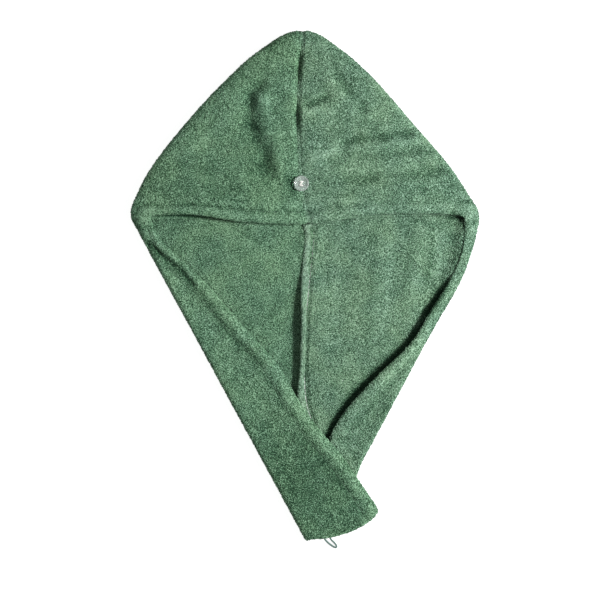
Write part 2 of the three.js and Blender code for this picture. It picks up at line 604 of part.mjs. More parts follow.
// One panel: lower layer, fold, hood and flap as one folded wall
function makePanel(side) {
  const rows = side < 0 ? leftTail : rightTail;
  const gap = new THREE.Vector2(side * seamGap / 2, 0);
  const fold = FOLDS.get(side);
  const corner = fold[cornerRow];
  const sheet = emptySheet();

  // The fold, from the lower layer round to the top
  const foldGrid = fold.map(({ inner, out, radius }, k) => {
    const ring = [];
    const hemShare = Math.max(0, 1 - Math.abs(k - cornerRow) / hemRows.length);
    for (let a = 0; a <= rollCells; a += 1) {
      const angle = Math.PI * a / rollCells;
      const dip = k === 0 ? seamDip(lowerMiddle + radius * (1 - Math.cos(angle))) : 0;
      const flat = flatOf(inner).addScaledVector(flatOf(out), (radius - dip) * Math.sin(angle));
      if (k === 0) flat.add(gap);
      const height = lowerMiddle + radius - (radius - dip) * Math.cos(angle);
      const extra = (hemEdgeThickness - clothThickness) * hemShare * a / rollCells;
      ring.push(addPoint(sheet, flat, height, clothThickness + extra, k === 0));
    }
    return { ring, flat: flatOf(inner), height: lowerMiddle + 2 * radius };
  });
  const alongCrown = foldGrid.slice(0, acrossCells + 1).map((entry) => entry.flat.clone());
  alongCrown[0].add(gap);
  const alongCorner = foldGrid.slice(acrossCells, cornerRow + 1).map((entry) => entry.flat).reverse();
  const onFold = (i, j, a) => {
    if (i === acrossCells) return foldGrid[cornerRow - j].ring[a];
    return j === crownCells ? foldGrid[i].ring[a] : undefined;
  };

  // The lower layer under the hood
  const lowerSeam = crownShares.map((share) => lowerSeamPoint(share).add(gap));
  lowerSeam[crownCells] = alongCrown[0];
  const lowerRow = sharesAlong(alongCrown).map((share) => (
    lowerSeam[0].clone().lerp(flatOf(corner.inner), share)));
  const lowerPatch = fillPatch(lowerRow, alongCrown, lowerSeam, alongCorner);
  const lower = lowerPatch.map((line, i) => line.map((flat, j) => (
    onFold(i, j, 0) ?? addPoint(
      sheet, flat, i === 0 ? lowerSeamHeight(flat) : lowerHeight(flat), clothThickness, i === 0)
  )));

  // The lower layer of the tail
  const lowerTail = lower.map((line) => [line[0]]);
  for (let k = 1; k < TAIL.length; k += 1) {
    const start = tailSeamPoint(TAIL[k]).add(gap);
    const end = foldGrid[cornerRow + k];
    steps(start.distanceTo(end.flat), acrossCells, [seamRoll]).forEach((share, i) => {
      const flat = start.clone().lerp(end.flat, share);
      const height = i === 0 ? lowerSeamHeight(flat) : lowerHeight(flat);
      const onRing = i === acrossCells;
      lowerTail[i].push(onRing ? end.ring[0] : addPoint(sheet, flat, height, clothThickness, i === 0));
    });
  }

  // The edge of the hood from the seam to the notch at the corner, and on to the fold
  const notch = place(rows[0].edge, 0, rows[0].edgeDown);
  const foot = topSeamPoint(0).add(gap);
  const brim = steps(foot.distanceTo(notch), acrossCells - flapCells, [seamRoll]).map((share) => {
    const flat = foot.clone().lerp(notch, share);
    flat.y = THREE.MathUtils.lerp(brimUp(flat.x / halfMouth) * crownHeight, notch.y, share ** notchTurn);
    return flat;
  });
  const flapShares = (width) => steps(width, flapCells, hemRows).reverse().map((share) => 1 - share);
  for (const share of flapShares(notch.distanceTo(flatOf(corner.inner))).reverse().slice(1)) {
    brim.push(flatOf(corner.inner).lerp(notch, share));
  }

  // The hood; its last cells next to the corner run on into the flap
  const topSeam = crownShares.map((share) => topSeamPoint(share).add(gap));
  topSeam[crownCells] = alongCrown[0];
  const topPatch = fillPatch(brim, alongCrown, topSeam, alongCorner);
  const top = topPatch.map((line, i) => line.map((flat, j) => (
    onFold(i, j, rollCells) ?? addPoint(
      sheet, flat, i === 0 ? topSeamHeight(flat) : crownHeightAt(flat),
      hemProfile(crownShares[j] * crownHeight, 1), i === 0)
  )));

  // The flap
  const flap = [];
  for (let a = 0; a <= flapCells; a += 1) flap.push([top[acrossCells - a][0]]);
  for (let k = 1; k < TAIL.length; k += 1) {
    const row = {};
    for (const column of Object.keys(rows[0])) row[column] = track(rows, 'at', TAIL[k], column);
    const start = foldGrid[cornerRow + k];
    const end = place(row.edge, 0, row.edgeDown);
    const width = start.flat.distanceTo(end);
    const along = end.clone().sub(start.flat).normalize();
    const downwards = new THREE.Vector2(-side * along.y, side * along.x);
    const bow = endBow * width * THREE.MathUtils.smoothstep(TAIL[k], endBowFrom, 1);
    flapShares(width).forEach((share, a) => {
      const flat = start.flat.clone().lerp(end, share);
      flat.addScaledVector(downwards, bow * 4 * share * (1 - share));
      const { height, thickness } = flapSection(row, share, width, start.height);
      flap[a].push(a === 0 ? start.ring[rollCells] : addPoint(sheet, flat, height, thickness));
    });
  }

  // Cells of all patches, each turning the same way seen from the outside of the towel
  const { cells } = sheet;
  const lastTail = TAIL.length - 1;
  for (let i = 0; i < acrossCells; i += 1) {
    for (let j = 0; j < crownCells; j += 1) {
      cells.push([lower[i][j], lower[i + 1][j], lower[i + 1][j + 1], lower[i][j + 1]]);
      cells.push([top[i][j], top[i][j + 1], top[i + 1][j + 1], top[i + 1][j]]);
    }
    for (let k = 0; k < lastTail; k += 1) {
      cells.push([lowerTail[i][k], lowerTail[i][k + 1], lowerTail[i + 1][k + 1], lowerTail[i + 1][k]]);
    }
  }
  for (let k = 0; k + 1 < foldGrid.length; k += 1) {
    const here = foldGrid[k].ring;
    const next = foldGrid[k + 1].ring;
    for (let a = 0; a < rollCells; a += 1) cells.push([here[a], next[a], next[a + 1], here[a + 1]]);
  }
  for (let a = 0; a < flapCells; a += 1) {
    for (let k = 0; k < lastTail; k += 1) {
      cells.push([flap[a][k], flap[a][k + 1], flap[a + 1][k + 1], flap[a + 1][k]]);
    }
  }
  return thicken(sheet, side > 0);
}

// The seam from the tail end up the lower layer, round the peak and down the hood to its stitch line.
// inwards is the direction to the inside of the towel, turn the angle the allowance has stood up by, and
// left, given only round the peak, the direction in which it lies.
function seamPath() {
  const path = [];
  const up = new THREE.Vector3(0, 0, 1);
  const push = (flat, height, inwards, turn = 0, left = null) => {
    path.push({ point: new THREE.Vector3(flat.x, flat.y, height), inwards, turn, left });
  };
  for (const at of [...TAIL].reverse()) {
    if (at > allowanceLastShare) continue;
    const flat = tailSeamPoint(at);
    push(flat, lowerSeamHeight(flat), up, standingTurn * track(allowanceTurns, 'at', at, 'turn'));
  }
  for (const share of crownShares.slice(1, -1)) {
    const flat = lowerSeamPoint(share);
    push(flat, lowerSeamHeight(flat), up);
  }
  for (let a = 0; a <= rollCells; a += 1) {
    const angle = Math.PI * a / rollCells;
    const reach = PEAK.radius - seamDip(lowerMiddle + PEAK.radius * (1 - Math.cos(angle)));
    const flat = flatOf(PEAK.inner);
    flat.y += reach * Math.sin(angle) - allowancePeakEaseShare * allowanceThickness;
    const inwards = new THREE.Vector3(0, -Math.sin(angle), Math.cos(angle));
    push(flat, lowerMiddle + PEAK.radius - reach * Math.cos(angle), inwards, 0, new THREE.Vector3(-1, 0, 0));
  }
  for (const share of [...crownShares].reverse().slice(1)) {
    if (share * crownHeight < hemWidth * allowanceStopShare) break;
    const flat = topSeamPoint(share);
    push(flat, topSeamHeight(flat), up.clone().negate());
  }
  return path;
}

// The seam allowance: a flat strip with rounded edges, on the left of the seam and inside the cloth
function makeAllowance() {
  const path = seamPath();
  const position = [];
  const index = [];
  const leftwards = (k) => {
    const before = path[Math.max(k - 1, 0)].point;
    const after = path[Math.min(k + 1, path.length - 1)].point;
    const along = new THREE.Vector3(after.x - before.x, after.y - before.y, 0).normalize();
    return new THREE.Vector3(-along.y, along.x, 0).multiplyScalar(path[k].inwards.z);
  };
  path.forEach(({ point, inwards, turn, left: given }, k) => {
    const left = given ?? leftwards(k);
    const foot = point.clone().addScaledVector(inwards, clothThickness / 2 + restGap);
    foot.addScaledVector(left, allowanceThickness * Math.sin(turn));
    const wide = left.clone().multiplyScalar(Math.cos(turn)).addScaledVector(inwards, Math.sin(turn));
    const thick = inwards.clone().multiplyScalar(Math.cos(turn)).addScaledVector(left, -Math.sin(turn));
    for (const { across, rise } of allowanceSection) {
      const corner = foot.clone().addScaledVector(wide, across * allowanceWidth);
      corner.addScaledVector(thick, rise * allowanceThickness);
      position.push(corner.x, corner.y, corner.z);
    }
  });
  const count = allowanceSection.length;
  for (let k = 0; k + 1 < path.length; k += 1) {
    for (let c = 0; c < count; c += 1) {
      const a = k * count + c;
      const b = k * count + (c + 1) % count;
      index.push(a, b, a + count, b, b + count, a + count);
    }
  }
  const last = (path.length - 1) * count;
  for (let c = 1; c + 1 < count; c += 1) {
    index.push(0, c + 1, c);
    index.push(last, last + c, last + c + 1);
  }
  const geometry = new THREE.BufferGeometry();
  geometry.setAttribute('position', new THREE.Float32BufferAttribute(position, 3));
  geometry.setIndex(index);
  return geometry;
}

const wasm = await Module();
wasm.setup();

// Solid for cutting, from a closed geometry
function solidOf(geometry) {
  const bare = geometry.clone();
  bare.deleteAttribute('normal');
  bare.deleteAttribute('uv');
  const merged = mergeVertices(bare, sameCorner);
  return new wasm.Manifold(new wasm.Mesh({
    numProp: 3,
    vertProperties: merged.getAttribute('position').array,
    triVerts: new Uint32Array(merged.getIndex().array),
  }));
}

// Button: a disc with a raised rim, a dished face and four holes, turned about its own axis
function makeButton() {
  const radius = buttonDiameter / 2;
  const profile = [new THREE.Vector2(0, 0)];
  for (const { inwards, height } of buttonSection) {
    profile.push(new THREE.Vector2(radius - inwards * buttonRimWidth, height * buttonThickness));
  }
  profile.push(new THREE.Vector2(0, profile[profile.length - 1].y));
  const disc = new THREE.LatheGeometry(profile, buttonSides).rotateX(Math.PI / 2);
  let solid = solidOf(disc);
  if (solid.volume() < 0) solid = solidOf(disc.setIndex([...disc.getIndex().array].reverse()));
  const holeRadius = buttonHoleDiameter / 2;
  const holeOffset = buttonHoleSpacing / 2;
  for (const [right, up] of [[1, 1], [-1, 1], [-1, -1], [1, -1]]) {
    const hole = new THREE.CylinderGeometry(holeRadius, holeRadius, 2 * buttonThickness, buttonHoleSides);
    hole.rotateX(Math.PI / 2);
    hole.translate(right * holeOffset, up * holeOffset, buttonThickness / 2);
    solid = solid.subtract(solidOf(hole));
  }
  const mesh = solid.getMesh();
  const geometry = new THREE.BufferGeometry();
  geometry.setAttribute('position', new THREE.Float32BufferAttribute(mesh.vertProperties, 3));
  geometry.setIndex([...mesh.triVerts]);
  return geometry;
}

// Elastic loop: both ends lie between the layers of the tail end, and the bight hangs out onto the surface
function makeLoop() {
  const root = tailSeamPoint(1);
  const inside = clothThickness + innerSeamDip + restGap + loopDiameter / 2;
  const resting = loopDiameter / 2 + loopClearance;
  const route = loopRoute.map(({ right, down, lift }) => {
    const height = THREE.MathUtils.lerp(resting, inside, lift);
    return new THREE.Vector3(root.x + right * loopReach, root.y - down * loopReach, height);
  });
  const curve = new THREE.CatmullRomCurve3(route, false, 'centripetal');
  const ring = new THREE.Shape();
  ring.absarc(0, 0, loopDiameter / 2, 0, Math.PI * 2, false);
  return new THREE.ExtrudeGeometry(ring, { steps: loopCells, curveSegments: loopSides, extrudePath: curve });
}

const turban = new THREE.Group();
turban.name = 'hair_turban';

function addPiece(name, geometry, colour, roughness) {
  const material = new THREE.MeshStandardMaterial({ color: colour, roughness, metalness: 0 });
  const mesh = new THREE.Mesh(geometry, material);
  mesh.name = name;
  turban.add(mesh);
  return mesh;
}

addPiece('left_panel', makePanel(-1), TERRY_GREEN, TERRY_ROUGHNESS);
addPiece('right_panel', makePanel(1), TERRY_GREEN_LIGHT, TERRY_ROUGHNESS);
addPiece('seam_allowance', makeAllowance(), SEAM_GREEN, TERRY_ROUGHNESS);

// The origin is at the middle of the towel's box, on the surface it lies on; the loop isn't counted
const box = new THREE.Box3().setFromObject(turban);
const centre = box.getCenter(new THREE.Vector3());

const button = addPiece('button', makeButton(), CLEAR_PLASTIC, PLASTIC_ROUGHNESS);
const buttonPlace = place(buttonAcross, buttonUp);
let under = 0;
for (let k = 0; k < buttonSides; k += 1) {
  const angle = 2 * Math.PI * k / buttonSides;
  const rim = new THREE.Vector2(Math.cos(angle), Math.sin(angle)).multiplyScalar(buttonDiameter / 2);
  under = Math.max(under, crownHeightAt(rim.add(buttonPlace)) + clothThickness / 2);
}
button.position.set(buttonPlace.x, buttonPlace.y, under + restGap);

addPiece('elastic_loop', makeLoop(), ELASTIC_GREEN, ELASTIC_ROUGHNESS);

turban.position.set(-centre.x, -centre.y, 0);

export default turban;
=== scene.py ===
import itertools
import math

import bmesh
import bpy
import numpy as np
from mathutils import Matrix, Vector
from mathutils.bvhtree import BVHTree


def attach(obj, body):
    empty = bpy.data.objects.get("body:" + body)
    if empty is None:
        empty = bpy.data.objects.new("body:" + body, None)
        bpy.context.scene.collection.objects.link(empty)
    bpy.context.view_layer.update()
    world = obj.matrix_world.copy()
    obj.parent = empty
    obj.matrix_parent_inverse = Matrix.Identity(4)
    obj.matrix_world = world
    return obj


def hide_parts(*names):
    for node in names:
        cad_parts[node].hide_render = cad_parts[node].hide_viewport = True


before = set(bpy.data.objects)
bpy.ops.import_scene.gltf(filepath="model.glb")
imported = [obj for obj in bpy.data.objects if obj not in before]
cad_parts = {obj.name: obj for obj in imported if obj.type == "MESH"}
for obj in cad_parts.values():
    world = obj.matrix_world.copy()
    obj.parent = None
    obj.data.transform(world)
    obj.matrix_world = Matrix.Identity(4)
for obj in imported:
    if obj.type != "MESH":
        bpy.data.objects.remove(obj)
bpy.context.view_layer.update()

# The view
# The towel lies on a white surface and is seen from straight above, with its peak away from the viewer.
# Places are in metres in the towel's own frame: its middle on the surface, +Y towards the peak.
PHOTO_SIDE = 605
METRES_PER_PIXEL = 0.00115
VIEW_MIDDLE = (-0.0030, -0.0194)
VIEW_LENS = 85
SENSOR_WIDTH = 36
SEEN_LEVEL = 0.010

seen_width = PHOTO_SIDE * METRES_PER_PIXEL
camera_data = bpy.data.cameras.new("view_from_above")
camera_data.lens = VIEW_LENS
camera_data.sensor_width = SENSOR_WIDTH
camera = bpy.data.objects.new("view_from_above", camera_data)
bpy.context.collection.objects.link(camera)
camera.location = (*VIEW_MIDDLE, SEEN_LEVEL + seen_width * VIEW_LENS / SENSOR_WIDTH)
bpy.context.scene.camera = camera
bpy.context.scene.view_settings.view_transform = "Standard"


# Elastic loop
# A short piece of round elastic, braided over a rubber core. Both ends are caught in the end of the
# tail between the two layers of terry, and the loop goes over the button when the turban is worn.
ELASTIC_DIAMETER = 0.0022
ELASTIC_ROUTE = [
    (0.0205, -0.2731, 0.00475),
    (0.0205, -0.2780, 0.00475),
    (0.0207, -0.2827, 0.00475),
    (0.0213, -0.2877, 0.00475),
    (0.0229, -0.2926, 0.00475),
    (0.0272, -0.2974, 0.00298),
    (0.0320, -0.3012, 0.00120),
    (0.0354, -0.3027, 0.00120),
    (0.0363, -0.3007, 0.00120),
    (0.0337, -0.2967, 0.00298),
    (0.0298, -0.2926, 0.00475),
    (0.0281, -0.2877, 0.00475),
    (0.0272, -0.2827, 0.00475),
    (0.0270, -0.2780, 0.00475),
    (0.0270, -0.2731, 0.00475),
]
ELASTIC_STEPS = 6
BRAID_PITCH = 0.0011
BRAID_SLANT = 0.7
ELASTIC_SHADOW = (0.030, 0.070, 0.060)
ELASTIC_LIGHT = (0.210, 0.340, 0.290)

# How far apart the bands of a wave texture of scale 1 lie, about
WAVE_PERIOD = 0.3


def smooth_route(points, steps):
    """Points on a smooth curve through the given ones, with so many steps between each two."""
    given = [Vector(point) for point in points]
    ends = [given[0] * 2 - given[1], *given, given[-1] * 2 - given[-2]]
    route = []
    for before, start, end, after in zip(ends, ends[1:], ends[2:], ends[3:]):
        for k in range(steps):
            t = k / steps
            route.append(0.5 * (2 * start + (end - before) * t
                                + (2 * before - 5 * start + 4 * end - after) * t ** 2
                                + (3 * start - before - 3 * end + after) * t ** 3))
    return [*route, given[-1]]


class Wire:
    """A socket in a material's nodes. Arithmetic on wires adds Math nodes."""

    def __init__(self, tree, socket=None):
        self.tree = tree
        self.socket = socket

    def node(self, kind, settings, inputs, output=0):
        """A node of that kind, its settings made first, then its inputs; gives one of its outputs."""
        made = self.tree.nodes.new("ShaderNode" + kind)
        for name, value in settings.items():
            setattr(made, name, value)
        for name, value in inputs.items():
            self.join(made.inputs[name], value)
        return Wire(self.tree, made.outputs[output])

    def join(self, target, value):
        if isinstance(value, Wire):
            self.tree.links.new(value.socket, target)
        else:
            target.default_value = value

    def into(self, name, value):
        """Feeds the material's own shader."""
        self.join(self.tree.nodes["Principled BSDF"].inputs[name], value)

    def mix(self, low, high):
        """A colour between two, with this wire as the share of the second."""
        return self.node("Mix", {"data_type": "RGBA"}, {0: self, 6: low, 7: high}, 2)

    def fit(self, low, high, to_low=0.0, to_high=1.0):
        """This value moved from one range to another and kept inside it."""
        return self.node("MapRange", {}, {0: self, 1: low, 2: high, 3: to_low, 4: to_high})

    def math(self, operation, first, second):
        return self.node("Math", {"operation": operation}, {0: first, 1: second})

    def __add__(self, other):
        return self.math("ADD", self, other)

    def __sub__(self, other):
        return self.math("SUBTRACT", self, other)

    def __rsub__(self, other):
        return self.math("SUBTRACT", other, self)

    def __mul__(self, other):
        return self.math("MULTIPLY", self, other)

    __radd__ = __add__
    __rmul__ = __mul__


def opaque(colour):
    return (*colour, 1.0)


def new_finish(name, roughness, **plain):
    """A material with the plain values of its shader set, and the wire that its nodes start from."""
    material = bpy.data.materials.new(name)
    material.use_nodes = True
    wires = Wire(material.node_tree)
    wires.into("Roughness", roughness)
    for socket, value in plain.items():
        wires.into(socket.replace("_", " "), value)
    return material, wires


def braid_finish():
    """Fine slanting yarns that cross, with shade painted where they dip under each other."""
    material, wires = new_finish("braided_elastic", 0.7, Sheen_Weight=0.3)
    place = wires.node("TexCoord", {}, {}, "Object")
    yarns = []
    for turn in (BRAID_SLANT, -BRAID_SLANT):
        slanted = wires.node("VectorRotate", {"rotation_type": "Z_AXIS"}, {"Vector": place, "Angle": turn})
        yarns.append(wires.node(
            "TexWave", {}, {"Vector": slanted, "Scale": WAVE_PERIOD / BRAID_PITCH}, "Fac"))
    crossing = yarns[0] * yarns[1]
    wires.into("Base Color", crossing.mix(opaque(ELASTIC_SHADOW), opaque(ELASTIC_LIGHT)))
    wires.into("Normal", wires.node("Bump", {}, {"Strength": 0.6, "Distance": 0.0003, "Height": crossing}))
    return material


def make_strand(name, routes, diameter, finish):
    """A round strand along each of the routes, as one piece."""
    curve = bpy.data.curves.new(name, "CURVE")
    curve.dimensions = "3D"
    curve.bevel_depth = diameter / 2
    curve.bevel_resolution = 2
    curve.use_fill_caps = True
    for route in routes:
        spline = curve.splines.new("POLY")
        spline.points.add(len(route) - 1)
        for point, place in zip(spline.points, route):
            point.co = (*place, 1.0)
    curve.materials.append(finish)
    strand = bpy.data.objects.new(name, curve)
    bpy.context.collection.objects.link(strand)
    return strand


elastic_route = smooth_route(ELASTIC_ROUTE, ELASTIC_STEPS)
elastic_loop = make_strand("hanging_loop", [elastic_route], ELASTIC_DIAMETER, braid_finish())
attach(elastic_loop, "root")
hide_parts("elastic_loop")


# Terry panels
# Two mirrored pieces of looped cotton terry. Each is a lower layer, a fold along the side and a hood
# half or a flap on top, with a turned and stitched hem along the free edge. The loops stand up as
# short curls on both faces of the cloth.
WELD = 0.00002
ROUNDS = 2
FINE_CUTS = 1
CLEAR_OF_CLOTH = 0.0015
LEANS_UP = 0.1
LOOKS_DOWN = -0.4
MOST_CORNERS = 4

# Where one zone of a panel fades into the next: the height of the layer on top, how far a face looks up,
# and where the hood begins and the flaps end on the way to the peak
ALOFT = (0.005, 0.009)
LOOKS_UP = (0.2, 0.7)
HOOD_FROM = (0.070, 0.080)
FLAPS_TO = (0.055, 0.070)

# Slow waves of the cloth on top, as height, pitch and seed. The button holds it down.
WAVES = [(0.0009, 0.052, 1), (0.0006, 0.024, 2)]
BUTTON_PLACE = (-0.0045, 0.1169)
BUTTON_REACH = 0.016

# Centre seam on the hood and down the lower layer, seen from above, and where on the hood it is pulled in
HOOD_SEAM = [
    (0.0033, 0.0721), (-0.0047, 0.1085), (-0.0081, 0.1572), (-0.0097, 0.2058), (-0.0069, 0.2500),
    (-0.0035, 0.2942),
]
TAIL_SEAM = [
    (0.0091, 0.0732), (0.0103, 0.0607), (0.0085, 0.0397), (0.0051, 0.0055), (0.0017, -0.0291),
    (-0.0001, -0.0648), (-0.0007, -0.0994), (0.0011, -0.1351), (0.0119, -0.1693), (0.0183, -0.2039),
    (0.0223, -0.2429), (0.0241, -0.2911),
]
SEAM_FILL = 0.0016
SEAM_PULL = 0.0032
SEAM_REACH = 0.0030
SEAM_CLOSE = 0.0006
SEAM_PULLED = [(0.2500, 0.016), (0.1920, 0.014)]
SEAM_FROM = (0.0660, 0.0720)
SEAM_FULL_BELOW = (0.1250, 0.1500)
SEAM_EXTRA = 0.6
SEAM_SIDES = (-0.1, 0.3)
# Light painted on the filled seam, and shade painted where it is pulled in
SEAM_PAINTED_LIGHT = 0.12
SEAM_PAINTED_SHADE = 0.45

# How far the pile stands out beyond the plain cloth, its lumps as height, pitch and seed, where it is
# thin beside the seam, and where it is pressed flat on the surface below
FULLNESS = 0.0013
PILE_LUMPS = [(0.00018, 0.0036, 11), (0.00022, 0.0021, 12)]
THIN_AT_SEAM = (0.0020, 0.0060)
PRESSED_FLAT = (0.0006, 0.0018)

# Free edges of the hood and the flaps, seen from above
BRIM_EDGE = [
    (-0.196, 0.0766), (-0.160, 0.0768), (-0.120, 0.0778), (-0.080, 0.0757), (-0.044, 0.0732),
    (0.006, 0.0721), (0.052, 0.0778), (0.086, 0.0797), (0.120, 0.0811), (0.160, 0.0818), (0.198, 0.0820),
]
LEFT_FLAP_EDGE = [
    (-0.1783, 0.0765), (-0.1765, 0.0651), (-0.1575, 0.0404), (-0.1185, 0.0055), (-0.0897, -0.0280),
    (-0.0599, -0.0619), (-0.0305, -0.0943), (-0.0121, -0.1281), (0.0109, -0.1616), (0.0389, -0.1936),
    (0.0609, -0.2264), (0.0833, -0.2591),
]
RIGHT_FLAP_EDGE = [
    (0.1849, 0.0791), (0.1839, 0.0629), (0.1803, 0.0386), (0.1675, 0.0055), (0.1459, -0.0291),
    (0.1247, -0.0659), (0.0907, -0.0983), (0.0603, -0.1300), (0.0355, -0.1627),
]

# The hems: free edge, side on which the cloth lies (1 for left and -1 for right on the way along it), width,
# how strongly it is gathered, and how much more so between two places across the hood
HEMS = [
    (BRIM_EDGE, 1, 0.0118, 0.45, 0.75),
    (LEFT_FLAP_EDGE, -1, 0.0150, 0.40, 0.0),
    (RIGHT_FLAP_EDGE, 1, 0.0150, 0.50, 0.0),
]
GATHERED_MORE = (-0.1350, -0.0060)
GATHER_FADE = 0.01
PUCKER_PITCH = 0.0134
PUCKER_WANDER = 0.003
PUCKER_WANDER_PITCH = 0.02
PUCKER_SEED = 5

# The hem sinks along its stitches and puffs out behind them, most at each pucker, with shade painted along
# the sunk stitches and light painted on the puffs. Between two puckers it keeps these shares of its sink and
# its painted shade. Light is also painted along its edge.
STITCH_SINK = 0.0013
STITCH_PAINTED_SHADE = 0.26
STITCH_REACH = 0.0022
SINK_BETWEEN = 0.3
PAINTED_SHADE_BETWEEN = 0.2
PUFF_RISE = 0.0005
PUFF_PAINTED_LIGHT = 0.16
PUFF_REACH = 0.0040
PUFF_FROM_EDGE = 1.55
EDGE_PAINTED_LIGHT = 0.13
EDGE_MIDDLE = 0.005
EDGE_REACH = 0.004

# Dents and soft ridges of the hood: their course seen from above, height, reach, and the light (above 0) or
# shade (below 0) painted on the pile there
CREASES = [
    ([(-0.0507, 0.2309), (-0.0633, 0.2205), (-0.0633, 0.1837)], -0.0026, 0.0070, -0.22),
    ([(-0.0633, 0.1837), (-0.0484, 0.1537), (-0.0438, 0.1261)], -0.0024, 0.0110, -0.24),
    ([(-0.0500, 0.2150), (-0.0500, 0.1860), (-0.0340, 0.1560), (-0.0290, 0.1320)], 0.0016, 0.0090, 0.06),
    ([(-0.0480, 0.2110), (-0.0465, 0.2060)], 0.0010, 0.0080, 0.20),
    ([(-0.0392, 0.2730), (-0.0139, 0.2884)], -0.0012, 0.0070, -0.25),
    ([(0.0033, 0.2044), (0.0252, 0.2159)], -0.0020, 0.0038, -0.35),
    ([(0.0010, 0.1980), (0.0150, 0.1995), (0.0298, 0.1975)], 0.0010, 0.0045, 0.25),
    ([(0.0355, 0.2412), (0.0677, 0.2009)], -0.0016, 0.0060, -0.25),
    ([(0.0290, 0.2350), (0.0401, 0.2228), (0.0560, 0.2060)], 0.0010, 0.0055, 0.15),
    ([(0.0102, 0.1434), (0.0332, 0.1549)], 0.0010, 0.0060, 0.28),
    ([(0.0470, 0.1641), (0.0850, 0.1700), (0.1194, 0.1745)], -0.0016, 0.0045, -0.24),
    ([(0.0540, 0.1560), (0.1260, 0.1660)], 0.0009, 0.0045, 0.10),
    ([(0.0700, 0.1480), (0.1380, 0.1540)], -0.0011, 0.0040, -0.14),
    ([(0.0560, 0.1370), (0.1440, 0.1450)], 0.0008, 0.0045, 0.08),
    ([(0.0470, 0.1204), (0.1100, 0.1250), (0.1585, 0.1307)], -0.0015, 0.0045, -0.20),
    ([(0.0600, 0.1100), (0.1480, 0.1180)], 0.0008, 0.0045, 0.08),
    ([(0.0045, 0.0984), (0.0608, 0.0973)], 0.0008, 0.0022, 0.22),
    # A dent beside the button, with the button's shadow painted into it
    ([(-0.0180, 0.1200), (-0.0150, 0.1080)], -0.0008, 0.0060, -0.25),
    ([(-0.1500, 0.1080), (-0.0700, 0.1150)], -0.0006, 0.0360, -0.09),
    ([(-0.1350, 0.1650), (-0.0950, 0.1950)], 0.0004, 0.0260, 0.06),
    ([(0.0500, 0.1130), (0.1450, 0.1180)], -0.0003, 0.0220, -0.06),
]
UNEVEN = 0.5
UNEVEN_PITCH = 0.015
UNEVEN_SEED = 7

# Hollows of the flaps: their course seen from above, depth, reach, and the shade painted on the pile there
FLAP_VALLEYS = [
    ([(-0.1795, 0.0480), (-0.1426, 0.0185), (-0.1288, 0.0020)], 0.0020, 0.0034, -0.50),
    ([(-0.1208, -0.0050), (-0.1081, -0.0223), (-0.0886, -0.0510), (-0.0748, -0.0683), (-0.0495, -0.0878)],
     0.0005, 0.0050, -0.15),
    ([(-0.0001, -0.1775), (0.0171, -0.2005), (0.0459, -0.2350)], 0.0004, 0.0060, -0.20),
    ([(-0.0450, -0.1700), (-0.0100, -0.2200)], 0.0003, 0.0300, -0.08),
    ([(-0.0150, -0.2300), (0.0350, -0.2700)], 0.0004, 0.0500, -0.17),
    ([(0.0950, -0.1350), (0.0720, -0.1600), (0.0560, -0.2000)], 0.0004, 0.0130, -0.20),
]

# Painted shade where the pile lies in deep shade: course, reach and darkness. Some of it is painted on the
# lower layer alone, under the left end of the brim and under the hem of the right flap.
PAINTED_SHADE_BELOW = [
    ([(-0.1800, 0.0818), (-0.1560, 0.0814), (-0.1320, 0.0808), (-0.1150, 0.0795)], 0.0018, 0.60),
    ([(0.1600, -0.0120), (0.1420, -0.0380), (0.1180, -0.0700), (0.0860, -0.0990), (0.0555, -0.1280),
      (0.0405, -0.1510), (0.0240, -0.1800)], 0.0064, 0.75),
]
PAINTED_SHADE_PLACES = [
    ([(0.1660, 0.0785), (0.1790, 0.0775), (0.1800, 0.0700)], 0.0022, 0.55),
    ([(0.1620, 0.0030), (0.1530, -0.0130), (0.1430, -0.0290)], 0.0062, 0.50),
    ([(0.1740, 0.0650), (0.1720, 0.0200)], 0.0060, 0.12),
]

# Close to the brim the seam allowance lies flat in a bed of pile. Light is painted on it there, and its end
# is spread and tucked under the brim.
ALLOWANCE_FLAT = (-0.0200, 0.0150)
BED_RISE = 0.0025
BED_REACH = 0.0090
UNDER_BRIM = (0.0660, 0.0740)
ALLOWANCE_PAINTED_LIGHT = 0.24
ALLOWANCE_SINK = 0.0010
ALLOWANCE_TUCK = 0.0040
ALLOWANCE_FLARE = 0.35
ALLOWANCE_MIDDLE = 0.0097
ALLOWANCE_END = (0.0560, 0.0732)

# Near the right corner the lower layer comes up to the flap, and both ends of the brim are drawn up
CORNER_BED = (-0.0200, 0.0200)
CORNER_RISE = 0.0042
CORNER_REACH = 0.0080
BRIM_DRAWN_LEFT = (-0.1400, -0.0700)
BRIM_DRAWN_RIGHT = (0.0200, 0.0800)
BRIM_DRAWS = (0.0062, 0.0034)
BRIM_DRAW_REACH = 0.0160

# Streaks of light and shade painted on the inner side at the right, over its soft ripples: their course and
# how much light (above 0) or shade (below 0) is painted
PAINTED_STREAKS = [
    ([(0.0380, 0.0620), (0.0330, -0.0500)], 0.07),
    ([(0.0800, 0.0650), (0.0700, -0.0700)], -0.07),
    ([(0.1010, 0.0650), (0.0900, -0.0500)], 0.07),
    ([(0.1240, 0.0680), (0.1120, -0.0200)], -0.10),
    ([(0.1360, 0.0680), (0.1260, -0.0100)], 0.08),
    ([(0.1480, 0.0680), (0.1400, 0.0050)], -0.12),
    ([(0.1580, 0.0600), (0.1540, 0.0100)], 0.10),
]
STREAK_REACH = 0.0045

# Large odd numbers that mix a lattice corner and a seed into a random value
CORNER_KEYS = (73856093, 19349663, 83492791)
SEED_KEY = 40503
MIXING_KEY = 1274126177


